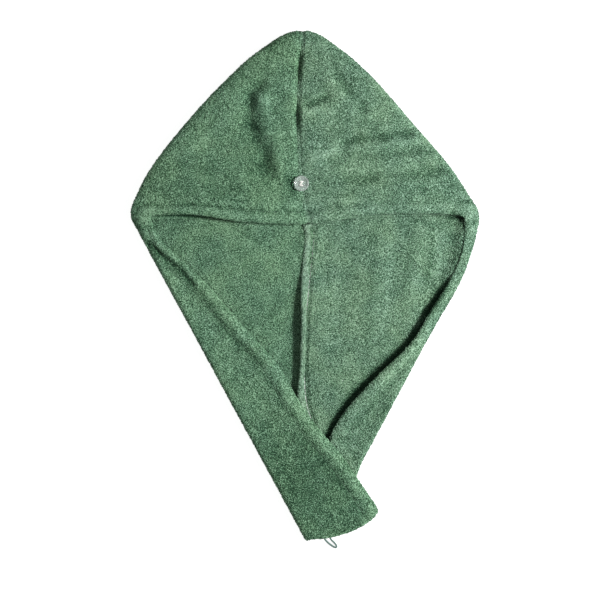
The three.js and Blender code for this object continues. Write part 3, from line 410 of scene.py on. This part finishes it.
def lumps(places, pitch, seed):
    """Smooth random values from -1 to 1 over space, about one lump for each pitch."""
    scaled = places / pitch
    corner = np.floor(scaled).astype(np.int64)
    share = scaled - corner
    share = share * share * (3 - 2 * share)
    total = np.zeros(len(places))
    for step in itertools.product((0, 1), repeat=3):
        key = (corner + step) @ np.array(CORNER_KEYS) + seed * SEED_KEY
        key = ((key ^ (key >> 13)) * MIXING_KEY) & 0xFFFFFFFF
        value = ((key ^ (key >> 15)) & 0xFFFF) / 32767.5 - 1
        total += value * np.prod(np.where(step, share, 1 - share), axis=1)
    return total


def along(route, flat):
    """Distance in plan of each place from a route, and how far along the route it lies."""
    nearest = np.full(len(flat), np.inf)
    reached = np.zeros(len(flat))
    passed = 0.0
    for start, end in zip(route, route[1:]):
        start = np.array(start[:2])
        way = np.array(end[:2]) - start
        length = math.hypot(*way)
        share = np.clip((flat - start) @ way / length ** 2, 0, 1)
        gap = np.linalg.norm(flat - start - share[:, None] * way, axis=1)
        closer = gap < nearest
        nearest = np.where(closer, gap, nearest)
        reached = np.where(closer, passed + share * length, reached)
        passed += length
    return nearest, reached


def smooth_step(value, low, high):
    share = np.clip((value - low) / (high - low), 0, 1)
    return share * share * (3 - 2 * share)


def bump(distance, reach):
    return np.exp(-(distance / reach) ** 2)


def mesh_of(node):
    """The node's solid with its doubled corners welded and its triangles paired into quads."""
    mesh = bmesh.new()
    mesh.from_mesh(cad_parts[node].data)
    bmesh.ops.remove_doubles(mesh, verts=mesh.verts, dist=WELD)
    bmesh.ops.join_triangles(mesh, faces=mesh.faces, angle_face_threshold=math.pi,
                             angle_shape_threshold=math.pi)
    return mesh


def rounded(mesh, name, rounds):
    """A new piece from the mesh, rounded by subdivision."""
    data = bpy.data.meshes.new(name)
    mesh.to_mesh(data)
    mesh.free()
    piece = bpy.data.objects.new(name, data)
    bpy.context.collection.objects.link(piece)
    lay_out(piece)
    modifier = piece.modifiers.new("rounding", "SUBSURF")
    modifier.levels = rounds
    modifier.render_levels = rounds
    bpy.context.view_layer.update()
    smooth = bpy.data.meshes.new_from_object(piece.evaluated_get(bpy.context.evaluated_depsgraph_get()))
    piece.modifiers.clear()
    piece.data = smooth
    return piece


def tree_of(*meshes):
    """One search tree over several meshes."""
    places = []
    faces = []
    for data in meshes:
        first = len(places)
        places.extend(vertex.co.copy() for vertex in data.vertices)
        faces.extend([first + k for k in face.vertices] for face in data.polygons)
    return BVHTree.FromPolygons(places, faces)


def shows(tree, face):
    """Whether the way up or straight out from a face is free of cloth."""
    start = face.calc_center_median() + face.normal * CLEAR_OF_CLOTH
    for way in (Vector((0, 0, 1)), face.normal):
        leans = face.normal.z > LOOKS_DOWN and face.normal.dot(way) > LEANS_UP
        if leans and tree.ray_cast(start, way)[0] is None:
            return True
    return False


def refine(piece, tree):
    """Cuts the faces that show into smaller ones."""
    mesh = bmesh.new()
    mesh.from_mesh(piece.data)
    mesh.normal_update()
    seen = mesh.faces.layers.int.new("seen")
    edges = set()
    for face in mesh.faces:
        if shows(tree, face):
            face[seen] = 1
            edges.update(face.edges)
    bmesh.ops.subdivide_edges(mesh, edges=list(edges), cuts=FINE_CUTS, use_grid_fill=True)
    bmesh.ops.triangulate(mesh, faces=[face for face in mesh.faces if len(face.verts) > MOST_CORNERS])
    mesh.to_mesh(piece.data)
    mesh.free()


def drape(flat):
    """How far the cloth on top rises and falls, alike for all layers above one place."""
    spread = np.column_stack([flat, np.zeros(len(flat))])
    height = sum(rise * lumps(spread, pitch, seed) for rise, pitch, seed in WAVES)
    from_button = np.linalg.norm(flat - np.array(BUTTON_PLACE), axis=1)
    return height * smooth_step(from_button, BUTTON_REACH, 2 * BUTTON_REACH)


def seen_share(data):
    """For each corner of the mesh, the share of the faces round it that show."""
    shown = np.zeros(len(data.vertices))
    faces = np.zeros(len(data.vertices))
    corners = np.empty(len(data.loops), np.int64)
    data.loops.foreach_get("vertex_index", corners)
    sides = np.empty(len(data.polygons), np.int64)
    data.polygons.foreach_get("loop_total", sides)
    seen = np.empty(len(data.polygons), np.int32)
    data.attributes["seen"].data.foreach_get("value", seen)
    np.add.at(shown, corners, np.repeat(seen, sides))
    np.add.at(faces, corners, 1)
    return shown / np.maximum(faces, 1)


def vectors_of(items, name):
    values = np.empty(len(items) * 3)
    items.foreach_get(name, values)
    return values.reshape(-1, 3)


class Cloth:
    """A piece of cloth while it is shaped: its corners, their zones, how each will move, and its painted
    light and shade.
    """

    def __init__(self, piece):
        self.places = vectors_of(piece.data.vertices, "co")
        self.normals = vectors_of(piece.data.vertices, "normal")
        self.flat = self.places[:, :2]
        self.seen = seen_share(piece.data)
        self.aloft = smooth_step(self.places[:, 2], *ALOFT)
        self.looks_up = smooth_step(self.normals[:, 2], *LOOKS_UP)
        self.outer = self.looks_up * self.aloft
        self.lower = self.looks_up * (1 - self.aloft)
        self.out = np.zeros(len(self.places))
        self.across = np.zeros(len(self.places))
        self.ahead = np.zeros(len(self.places))
        self.rise = drape(self.flat) * self.aloft
        self.painted_shading = np.zeros(len(self.places))

    def past(self, span):
        """0 on the near side of a span, 1 past it towards the peak."""
        return smooth_step(self.places[:, 1], *span)

    def near(self, route, reach):
        """1 on a route seen from above, 0 well away from it."""
        return bump(along(route, self.flat)[0], reach)


def lay_folds(cloth):
    """Dents and ridges of the hood and hollows of the flaps, with light and shade painted over them, and
    painted streaks.
    """
    uneven = 1 + UNEVEN * lumps(cloth.places, UNEVEN_PITCH, UNEVEN_SEED)
    on_hood = cloth.past(HOOD_FROM) * cloth.aloft * uneven
    for route, height, reach, turn in CREASES:
        near = cloth.near(route, reach) * on_hood
        cloth.rise += height * near
        # Light painted on the ridges, shade painted in the dents
        cloth.painted_shading += turn * near
    on_flap = (1 - cloth.past(FLAPS_TO)) * cloth.aloft * cloth.outer
    for route, depth, reach, turn in FLAP_VALLEYS:
        near = cloth.near(route, reach) * on_flap
        cloth.rise -= depth * near
        # Shade painted in the hollows
        cloth.painted_shading += turn * near
    # Painted shade, some of it on the lower layer alone
    for route, reach, painted_shade in PAINTED_SHADE_PLACES:
        cloth.painted_shading -= painted_shade * cloth.near(route, reach)
    for route, reach, painted_shade in PAINTED_SHADE_BELOW:
        cloth.painted_shading -= painted_shade * cloth.near(route, reach) * (1 - cloth.aloft)
    # Painted streaks of light and shade on the lower layer
    for route, turn in PAINTED_STREAKS:
        cloth.painted_shading += turn * cloth.near(route, STREAK_REACH) * cloth.lower


def gather_hems(cloth):
    """Sinks each hem along its stitches and puckers it, with painted shade in the sink and painted light on
    the puffs.
    """
    across_hood = cloth.flat[:, 0]
    more_from, more_to = (
        smooth_step(across_hood, place - GATHER_FADE, place + GATHER_FADE) for place in GATHERED_MORE)
    for edge, _, hem, gathered, gathered_more in HEMS:
        gap, reached = along(edge, cloth.flat)
        line = np.column_stack([reached, np.zeros((len(reached), 2))])
        wander = PUCKER_WANDER * lumps(line, PUCKER_WANDER_PITCH, PUCKER_SEED)
        beat = 0.5 + 0.5 * np.cos(2 * math.pi * (reached + wander) / PUCKER_PITCH)
        strength = cloth.outer * (gathered + gathered_more * more_from * (1 - more_to))
        stitched = bump(gap - hem, STITCH_REACH) * strength
        puffed = bump(gap - hem * PUFF_FROM_EDGE, PUFF_REACH) * strength * beat
        sink = STITCH_SINK * stitched * (SINK_BETWEEN + (1 - SINK_BETWEEN) * beat)
        # Painted shade along the stitches, painted light on the puffs and along the edge
        painted_shade = STITCH_PAINTED_SHADE * stitched * (PAINTED_SHADE_BETWEEN + (1 - PAINTED_SHADE_BETWEEN) * beat)
        cloth.out += PUFF_RISE * puffed - sink
        cloth.painted_shading += PUFF_PAINTED_LIGHT * puffed - painted_shade
        cloth.painted_shading += EDGE_PAINTED_LIGHT * bump(gap - EDGE_MIDDLE, EDGE_REACH) * cloth.outer


def bed_allowance(cloth, is_allowance):
    """Lays the flat stretch of the seam allowance into the pile of the lower layer, and paints light on that
    stretch.
    """
    bed = cloth.past(ALLOWANCE_FLAT) * cloth.lower
    if is_allowance:
        end = cloth.past(ALLOWANCE_END)
        # Light painted on the flat stretch of the allowance
        cloth.painted_shading += ALLOWANCE_PAINTED_LIGHT * bed
        cloth.rise -= ALLOWANCE_SINK * bed
        cloth.ahead += ALLOWANCE_TUCK * end
        cloth.places[:, 0] += ALLOWANCE_FLARE * end * (cloth.places[:, 0] - ALLOWANCE_MIDDLE)
    else:
        cloth.rise += BED_RISE * bed * cloth.near(TAIL_SEAM, BED_REACH) * (1 - cloth.past(UNDER_BRIM))


def draw_corners(cloth):
    """Brings the lower layer up at the right corner, and draws both ends of the brim to the peak."""
    corner = cloth.past(CORNER_BED) * (1 - cloth.past(HOOD_FROM)) * cloth.lower
    cloth.rise += CORNER_RISE * corner * cloth.near(RIGHT_FLAP_EDGE, CORNER_REACH)
    across_hood = cloth.places[:, 0]
    drawn = (BRIM_DRAWS[0] * (1 - smooth_step(across_hood, *BRIM_DRAWN_LEFT))
             + BRIM_DRAWS[1] * smooth_step(across_hood, *BRIM_DRAWN_RIGHT))
    cloth.ahead += drawn * cloth.near(BRIM_EDGE, BRIM_DRAW_REACH) * cloth.aloft


def close_seam(cloth, seam_gap, push):
    """Fills the hood's seam level and pushes its edges together, apart from where pulled in; paints light
    and shade there.
    """
    pulled = sum(bump(cloth.places[:, 1] - middle, reach) for middle, reach in SEAM_PULLED)
    beside_seam = bump(seam_gap, SEAM_REACH) * cloth.aloft * cloth.past(SEAM_FROM)
    full = (1 + SEAM_EXTRA * (1 - cloth.past(SEAM_FULL_BELOW))) * (1 - pulled)
    groove = beside_seam * smooth_step(cloth.normals[:, 2], *SEAM_SIDES)
    cloth.rise += (SEAM_FILL * full - SEAM_PULL * pulled) * groove
    # Painted light on the filled seam, painted shade where it is pulled in
    cloth.painted_shading += (SEAM_PAINTED_LIGHT - SEAM_PAINTED_SHADE * pulled) * groove
    cloth.across += push * SEAM_CLOSE * full * beside_seam


def stand_pile(cloth, seam_gap):
    """Thickens the cloth by its pile where it shows."""
    pile = sum(height * lumps(cloth.places, pitch, seed) for height, pitch, seed in PILE_LUMPS)
    standing = smooth_step(cloth.places[:, 2], *PRESSED_FLAT) * cloth.seen
    cloth.out += (pile + FULLNESS * smooth_step(seam_gap, *THIN_AT_SEAM)) * standing


def shape_cloth(piece, push, is_allowance=False):
    """Shapes a piece's folds, hems, seam and pile. Push is the way that closes the hood's seam."""
    cloth = Cloth(piece)
    seam_gap = np.where(
        cloth.aloft > 0.5, along(HOOD_SEAM, cloth.flat)[0], along(TAIL_SEAM, cloth.flat)[0])
    lay_folds(cloth)
    gather_hems(cloth)
    bed_allowance(cloth, is_allowance)
    draw_corners(cloth)
    close_seam(cloth, seam_gap, push)
    stand_pile(cloth, seam_gap)
    places = cloth.places + cloth.normals * cloth.out[:, None]
    places += np.column_stack([cloth.across, cloth.ahead, cloth.rise])
    data = piece.data
    data.vertices.foreach_set("co", places.ravel())
    # The light and shade painted on the corners go to the colour of the cloth and of its pile
    data.attributes.new("painted_shading", "FLOAT", "POINT").data.foreach_set("value", cloth.painted_shading)
    data.update()
    for face in data.polygons:
        face.use_smooth = True


# The dye has taken a little unevenly
COOLER = (0.99, 1.00, 1.05)
WARMER = (1.01, 1.00, 0.96)

# Noise scales of the yarn's grain, of the pile's blotches and of the dye's patches, and how the grain tells:
# it spreads the colour from painted shade between the loops to painted light on their tips
GRAIN_SCALE = 800
BLOTCH_SCALE = 95
PATCH_SCALE = 24
GRAIN_CONTRAST = 2.0
GRAIN_SHIFT = 0.520


def terry_finish(name, shadow, body, tips):
    """Looped cotton yarn with painted light on the tips, painted shade between loops, and blotches where the
    pile leans.
    """
    material, wires = new_finish(name, 0.95, Sheen_Weight=0.2, Sheen_Roughness=0.5, Sheen_Tint=opaque(tips),
                                 Specular_IOR_Level=0.1)
    place = wires.node("TexCoord", {}, {}, "Object")
    # The light and shade painted on the cloth
    painted_shading_level = wires.node("Attribute", {"attribute_name": "painted_shading"}, {}, "Fac")
    grain = wires.node(
        "TexNoise", {}, {"Vector": place, "Scale": GRAIN_SCALE, "Detail": 2.0, "Roughness": 0.7}, "Fac")
    blotches = wires.node("TexNoise", {}, {"Vector": place, "Scale": BLOTCH_SCALE, "Detail": 3.0}, "Fac")
    patches = wires.node("TexNoise", {}, {"Vector": place, "Scale": PATCH_SCALE, "Detail": 2.0}, "Fac")
    level = (grain.fit(0.25, 0.75) * GRAIN_CONTRAST - GRAIN_SHIFT + blotches.fit(0.3, 0.7, -0.10, 0.10)
             + patches.fit(0.3, 0.7, -0.08, 0.08) + painted_shading_level)
    colours = []
    for tint in (COOLER, WARMER):
        painted_shade, middle, light = (opaque(np.multiply(colour, tint)) for colour in (shadow, body, tips))
        colours.append(level.fit(0.5, 1.0).mix(level.fit(0.0, 0.5).mix(painted_shade, middle), light))
    wires.into("Base Color", patches.fit(0.35, 0.65).mix(*colours))
    wires.into("Normal", wires.node("Bump", {}, {"Strength": 0.9, "Distance": 0.0007, "Height": grain}))
    return material


# Each loop of yarn is a short bent grain: two points with a three-sided ring between them
LOOP_LENGTH = 0.0027
LOOP_WIDTH = 0.0011
LOOP_HEIGHT = 0.0007
LOOP_SIZES = (0.7, 1.3)
LOOP_BEND = 0.0005
LOOP_LEAN = 0.3
LOOP_SINK = 0.0003
ABOVE_SURFACE = 0.0002
LOOP_FACES = np.array([(0, 2, 3), (0, 3, 1), (4, 3, 2), (4, 1, 3), (0, 1, 2), (4, 2, 1)])

# The colour map of a loop: its upper faces fill the left of a square cell and its lower ones the right
COLOUR_MAP = "OFBake"
CELL_UPPER = np.array([(0.03, 0.50), (0.30, 0.05), (0.30, 0.95), (0.30, 0.50), (0.57, 0.50)])
CELL_LOWER = np.array([(0.63, 0.50), (0.80, 0.05), (0.80, 0.95), (0.80, 0.50), (0.97, 0.50)])


def raise_pile(piece, name, finish, loops, seed):
    """Loops of yarn all over what shows of a piece."""
    data = piece.data
    data.calc_loop_triangles()
    count = len(data.loop_triangles)
    corners = np.empty(count * 3, np.int64)
    data.loop_triangles.foreach_get("vertices", corners)
    owners = np.empty(count, np.int64)
    data.loop_triangles.foreach_get("polygon_index", owners)
    seen = np.empty(len(data.polygons), np.int32)
    data.attributes["seen"].data.foreach_get("value", seen)
    # The light and shade painted on the cloth, handed on to each loop at its place
    painted_shading = np.empty(len(data.vertices))
    data.attributes["painted_shading"].data.foreach_get("value", painted_shading)
    corners = corners.reshape(-1, 3)[seen[owners] == 1]
    triangles = vectors_of(data.vertices, "co")[corners]
    across = np.cross(triangles[:, 1] - triangles[:, 0], triangles[:, 2] - triangles[:, 0])
    area = np.linalg.norm(across, axis=1)
    random = np.random.default_rng(seed)
    chosen = random.choice(len(area), loops, p=area / area.sum())
    first, second = np.sort(random.random((2, loops)), axis=0)
    weights = np.stack([first, second - first, 1 - second], axis=1)
    centre = np.einsum("nk,nkd->nd", weights, triangles[chosen])
    painted_shading_level = np.einsum("nk,nk->n", weights, painted_shading[corners[chosen]])
    normal = across[chosen] / area[chosen, None]
    ahead = np.cross(normal, random.normal(size=(loops, 3)))
    ahead /= np.linalg.norm(ahead, axis=1)[:, None]
    beside = np.cross(normal, ahead)
    size = random.uniform(*LOOP_SIZES, loops)
    bend = random.uniform(-1, 1, loops) * LOOP_BEND
    lean = bend + random.uniform(-LOOP_LEAN, LOOP_LEAN, loops) * LOOP_WIDTH

    def at(forward, sideways, up):
        return centre + ahead * forward[:, None] + beside * sideways[:, None] + normal * up[:, None]

    none = np.zeros(loops)
    points = np.stack([
        at(-size * LOOP_LENGTH / 2, none, none - LOOP_SINK),
        at(none, bend - size * LOOP_WIDTH / 2, none),
        at(none, bend + size * LOOP_WIDTH / 2, none),
        at(none, lean, size * LOOP_HEIGHT),
        at(size * LOOP_LENGTH / 2, none, none - LOOP_SINK),
    ], axis=1)
    each = points.shape[1]
    points = points.reshape(-1, 3)
    points[:, 2] = np.maximum(points[:, 2], ABOVE_SURFACE)
    faces = (np.arange(loops)[:, None, None] * each + LOOP_FACES).reshape(-1, 3)
    mesh = bpy.data.meshes.new(name)
    mesh.from_pydata(points.tolist(), [], faces.tolist())
    mesh.shade_smooth()
    mesh.attributes.new("painted_shading", "FLOAT", "POINT").data.foreach_set("value", np.repeat(painted_shading_level, each))
    side = math.ceil(math.sqrt(loops))
    cell = np.stack([np.arange(loops) % side, np.arange(loops) // side], axis=1)[:, None, None, :]
    in_cell = np.stack([*CELL_UPPER[LOOP_FACES[:4]], *CELL_LOWER[LOOP_FACES[4:]]])
    colour_map = mesh.uv_layers.new(name=COLOUR_MAP)
    colour_map.uv.foreach_set("vector", ((cell + in_cell) / side).ravel())
    mesh.materials.append(finish)
    pile = bpy.data.objects.new(name, mesh)
    bpy.context.collection.objects.link(pile)
    return pile


def lay_out(piece):
    """Gives the plain cloth its colour map before it is rounded and cut finer."""
    piece.data.uv_layers.new(name=COLOUR_MAP)
    bpy.context.view_layer.objects.active = piece
    bpy.ops.object.mode_set(mode="EDIT")
    bpy.ops.mesh.select_all(action="SELECT")
    bpy.ops.uv.smart_project(angle_limit=1.15, island_margin=0.004, scale_to_bounds=True)
    bpy.ops.object.mode_set(mode="OBJECT")


def make_panel(node, name, shades, push, seed):
    """A panel of the towel in place of its plain solid, with its pile."""
    piece = rounded(mesh_of(node), name, ROUNDS)
    refine(piece, panels)
    shape_cloth(piece, push)
    piece.data.materials.clear()
    piece.data.materials.append(terry_finish(name + "_ground", *shades))
    pile = raise_pile(piece, name + "_pile", terry_finish(name + "_yarn", *shades), LOOPS, seed)
    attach(piece, "root")
    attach(pile, "root")
    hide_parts(node)
    return piece


# Each panel has this many loops where it shows
LOOPS = 32000
# Shadow, body and tip colours of each panel. The right panel's are lighter, with light painted on it for the
# lamp at the right, and the left panel's darker, with shade painted on it.
LEFT_SHADED_COLOURS = ((0.010, 0.036, 0.018), (0.084, 0.183, 0.099), (0.262, 0.432, 0.292))
RIGHT_LIT_COLOURS = ((0.012, 0.039, 0.020), (0.094, 0.189, 0.110), (0.280, 0.430, 0.312))

panels = tree_of(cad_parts["left_panel"].data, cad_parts["right_panel"].data)
left_terry = make_panel("left_panel", "left_terry", LEFT_SHADED_COLOURS, 1, 3)
right_terry = make_panel("right_panel", "right_terry", RIGHT_LIT_COLOURS, -1, 4)


# Seam allowance
# The raw edges of both panels, sewn together and left on the inside as one soft strip. It is of the same
# terry in lighter colours, and lies flat under the hood and stands up further down.
ALLOWANCE_LOOPS = 1800
ALLOWANCE_SHADES = ((0.042, 0.085, 0.051), (0.146, 0.258, 0.168), (0.300, 0.440, 0.330))

seam_terry = rounded(mesh_of("seam_allowance"), "seam_terry", ROUNDS)
refine(seam_terry, panels)
shape_cloth(seam_terry, -1, is_allowance=True)
seam_terry.data.materials.clear()
seam_terry.data.materials.append(terry_finish("seam_terry_ground", *ALLOWANCE_SHADES))
seam_pile = raise_pile(
    seam_terry, "seam_terry_pile", terry_finish("seam_terry_yarn", *ALLOWANCE_SHADES), ALLOWANCE_LOOPS, 5)
seam_terry.parent = left_terry
seam_pile.parent = left_terry
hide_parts("seam_allowance")


# Hem stitches
# One row of lockstitch in matching polyester thread along each turned hem. The thread sinks into the
# pile, so that only its stitches' tops show.
STITCH_PITCH = 0.0034
STITCH_LENGTH = 0.0026
STITCH_THREAD = 0.0005
STITCH_GREEN = (0.110, 0.230, 0.135)
PLY_SHADE = 0.6
EDGE_STEPS = 6
FROM_ABOVE = 0.050

# A stitch's section: share of its length and height above the cloth as a share of the thread
STITCH_SECTION = [(0.0, 0.2), (0.5, 0.9), (1.0, 0.2)]

surface = tree_of(left_terry.data, right_terry.data)


def as_mesh(strand):
    """The same strands as a plain mesh."""
    data = bpy.data.meshes.new_from_object(strand.evaluated_get(bpy.context.evaluated_depsgraph_get()))
    piece = bpy.data.objects.new(data.name, data)
    bpy.data.objects.remove(strand)
    bpy.context.collection.objects.link(piece)
    return piece


def thread_finish(name, colour):
    """Twisted thread with fine slanting plies, with shade painted in the grooves between them."""
    material, wires = new_finish(name, 0.6, Sheen_Weight=0.2)
    place = wires.node("TexCoord", {}, {}, "Object")
    plies = wires.node("TexWave", {"bands_direction": "DIAGONAL"}, {"Vector": place, "Scale": 900}, "Fac")
    darker = tuple(PLY_SHADE * share for share in colour)
    wires.into("Base Color", plies.mix(opaque(darker), opaque(colour)))
    return material


def beside_edge(edge, side, offset):
    """The edge's route moved sideways in plan, with a point for each stitch's start."""
    rounded_edge = smooth_route([(*point, 0) for point in edge], EDGE_STEPS)
    moved = []
    for before, after in zip(rounded_edge, rounded_edge[1:]):
        way = (after - before).normalized()
        moved.append(before + Vector((-way.y, way.x, 0)) * side * offset)
    return moved


def stitches_along(route):
    """Short dashes of thread on the cloth below a route."""
    dashes = []
    reached = 0.0
    for start, end in zip(route, route[1:]):
        length = (end - start).length
        way = (end - start) / length
        while reached < length:
            dash = []
            for share, lift in STITCH_SECTION:
                over = start + way * (reached + share * STITCH_LENGTH) + Vector((0, 0, FROM_ABOVE))
                place = surface.ray_cast(over, Vector((0, 0, -1)))[0]
                if place is not None:
                    dash.append(place + Vector((0, 0, lift * STITCH_THREAD)))
            if len(dash) == len(STITCH_SECTION):
                dashes.append(dash)
            reached += STITCH_PITCH
        reached -= length
    return dashes


hem_dashes = [dash for hem in HEMS for dash in stitches_along(beside_edge(*hem[:3]))]
hem_stitches = as_mesh(
    make_strand("stitches", hem_dashes, STITCH_THREAD, thread_finish("hem_thread", STITCH_GREEN)))
hem_stitches.name = "hem_stitches"
hem_stitches.parent = left_terry


# Button
# A cast button of clear plastic with a raised rim, a dished face and four holes, polished all round. It
# sits on the seam of the hood just above the hem.
BUTTON_MIDDLE = Vector((-0.0045, 0.1169, 0.0167))
BUTTON_SIDES = 64
BUTTON_PROFILE = [
    (0.0070, 0.0000), (0.0082, 0.0003), (0.0088, 0.0009), (0.0090, 0.0016), (0.0088, 0.0024),
    (0.0083, 0.0030), (0.0076, 0.0032), (0.0069, 0.0030), (0.0062, 0.0024), (0.0056, 0.0021),
]
HOLE_DIAMETER = 0.0018
HOLE_OFFSET = 0.0022
HOLE_SIDES = 20
DRILL_LENGTH = 0.02
SHARP_EDGE = math.radians(35)
PLASTIC_PALE = (0.80, 0.90, 0.84)
PLASTIC_CLOUDY = (0.66, 0.78, 0.71)


def plastic_finish():
    """Clear plastic, faintly cloudy inside."""
    material, wires = new_finish("clear_plastic", 0.08, Transmission_Weight=0.72, IOR=1.49, Coat_Weight=0.3)
    place = wires.node("TexCoord", {}, {}, "Object")
    clouds = wires.node("TexNoise", {}, {"Vector": place, "Scale": 260, "Detail": 2.0}, "Fac")
    wires.into("Base Color", clouds.fit(0.3, 0.7).mix(opaque(PLASTIC_PALE), opaque(PLASTIC_CLOUDY)))
    return material


def make_button():
    """A disc turned from its profile and drilled four times, with its sharp edges kept."""
    disc = bmesh.new()
    rings = []
    for radius, height in BUTTON_PROFILE:
        turns = (2 * math.pi * k / BUTTON_SIDES for k in range(BUTTON_SIDES))
        rings.append([disc.verts.new((radius * math.cos(t), radius * math.sin(t), height)) for t in turns])
    for low, high in zip(rings, rings[1:]):
        for k in range(BUTTON_SIDES):
            after = (k + 1) % BUTTON_SIDES
            disc.faces.new((low[k], low[after], high[after], high[k]))
    disc.faces.new(reversed(rings[0]))
    disc.faces.new(rings[-1])
    data = bpy.data.meshes.new("clear_button")
    disc.to_mesh(data)
    disc.free()
    drills = bmesh.new()
    for right, up in itertools.product((-HOLE_OFFSET, HOLE_OFFSET), repeat=2):
        made = bmesh.ops.create_cone(
            drills, cap_ends=True, segments=HOLE_SIDES, radius1=HOLE_DIAMETER / 2, radius2=HOLE_DIAMETER / 2,
            depth=DRILL_LENGTH)
        bmesh.ops.translate(drills, vec=(right, up, 0), verts=made["verts"])
    drill_data = bpy.data.meshes.new("drills")
    drills.to_mesh(drill_data)
    drills.free()
    drill = bpy.data.objects.new("drills", drill_data)
    button = bpy.data.objects.new("clear_button", data)
    bpy.context.collection.objects.link(drill)
    bpy.context.collection.objects.link(button)
    cut = button.modifiers.new("holes", "BOOLEAN")
    cut.object = drill
    split = button.modifiers.new("edges", "EDGE_SPLIT")
    split.split_angle = SHARP_EDGE
    bpy.context.view_layer.update()
    finished = bpy.data.meshes.new_from_object(button.evaluated_get(bpy.context.evaluated_depsgraph_get()))
    button.modifiers.clear()
    button.data = finished
    bpy.data.objects.remove(drill)
    finished.shade_smooth()
    finished.transform(Matrix.Translation(BUTTON_MIDDLE))
    finished.materials.clear()
    finished.materials.append(plastic_finish())
    return button


clear_button = make_button()
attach(clear_button, "root")
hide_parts("button")


# Button thread
# White cotton thread, sewn through the four holes in a slanting pattern, several turns in each bar.
BUTTON_THREAD = 0.0006
BUTTON_THREAD_WHITE = (0.86, 0.86, 0.80)
DISH_HEIGHT = 0.0021
THREAD_BARS = [((-1, 1), (1, 1)), ((1, 1), (-1, -1)), ((-1, -1), (1, -1))]
BAR_STRANDS = 3
STRAND_SPACING = 0.8 * BUTTON_THREAD
STRANDS_PINCHED = 0.4

# A bar's section: share of its length and height in the button
BAR_SECTION = [
    (0.00, 0.0002),
    (0.04, DISH_HEIGHT),
    (0.50, DISH_HEIGHT + 0.9 * BUTTON_THREAD),
    (0.96, DISH_HEIGHT),
    (1.00, 0.0002),
]
BAR_STEPS = 5


def thread_bars():
    """Each bar rises out of one hole, crosses the dish and goes down the other."""
    routes = []
    for start, end in THREAD_BARS:
        first, last = (Vector((*corner, 0)) * HOLE_OFFSET for corner in (start, end))
        way = (last - first).normalized()
        beside = Vector((-way.y, way.x, 0)) * STRAND_SPACING
        for k in range(BAR_STRANDS):
            shift = beside * (k - (BAR_STRANDS - 1) / 2)
            route = []
            for share, height in BAR_SECTION:
                spread = STRANDS_PINCHED + (1 - STRANDS_PINCHED) * math.sin(math.pi * share)
                place = BUTTON_MIDDLE + first.lerp(last, share) + shift * spread
                route.append(place + Vector((0, 0, height)))
            routes.append(smooth_route(route, BAR_STEPS))
    return routes


button_thread = as_mesh(
    make_strand("bars", thread_bars(), BUTTON_THREAD, thread_finish("white_thread", BUTTON_THREAD_WHITE)))
button_thread.name = "button_thread"
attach(button_thread, "root")


# Surface and light
# A white table top that glows faintly, under one broad lamp at the right and a pale room.
FLOOR_SIDE = 6.0
FLOOR_WHITE = (0.35, 0.35, 0.35)
FLOOR_GLOW = 0.90
KEY_PLACE = (1.25, 0.04, 1.08)
KEY_SIDE = 0.32
KEY_POWER = 47
FILL_POWER = 0.30

half = FLOOR_SIDE / 2
floor_corners = [(-half, -half, 0), (half, -half, 0), (half, half, 0), (-half, half, 0)]
floor_data = bpy.data.meshes.new("table_top")
floor_data.from_pydata(floor_corners, [], [(0, 1, 2, 3)])
floor = bpy.data.objects.new("table_top", floor_data)
bpy.context.collection.objects.link(floor)
floor_finish, _ = new_finish(
    "white_table", 0.9, Base_Color=opaque(FLOOR_WHITE), Emission_Color=opaque((1, 1, 1)),
    Emission_Strength=FLOOR_GLOW)
floor_data.materials.append(floor_finish)

key_data = bpy.data.lights.new("lamp_at_the_right", "AREA")
key_data.size = KEY_SIDE
key_data.energy = KEY_POWER
key = bpy.data.objects.new("lamp_at_the_right", key_data)
bpy.context.collection.objects.link(key)
key.location = KEY_PLACE
key.rotation_euler = (-Vector(KEY_PLACE)).to_track_quat("-Z", "Y").to_euler()

room = bpy.data.worlds.new("pale_room")
room.use_nodes = True
room.node_tree.nodes["Background"].inputs["Color"].default_value = opaque((1, 1, 1))
room.node_tree.nodes["Background"].inputs["Strength"].default_value = FILL_POWER
bpy.context.scene.world = room
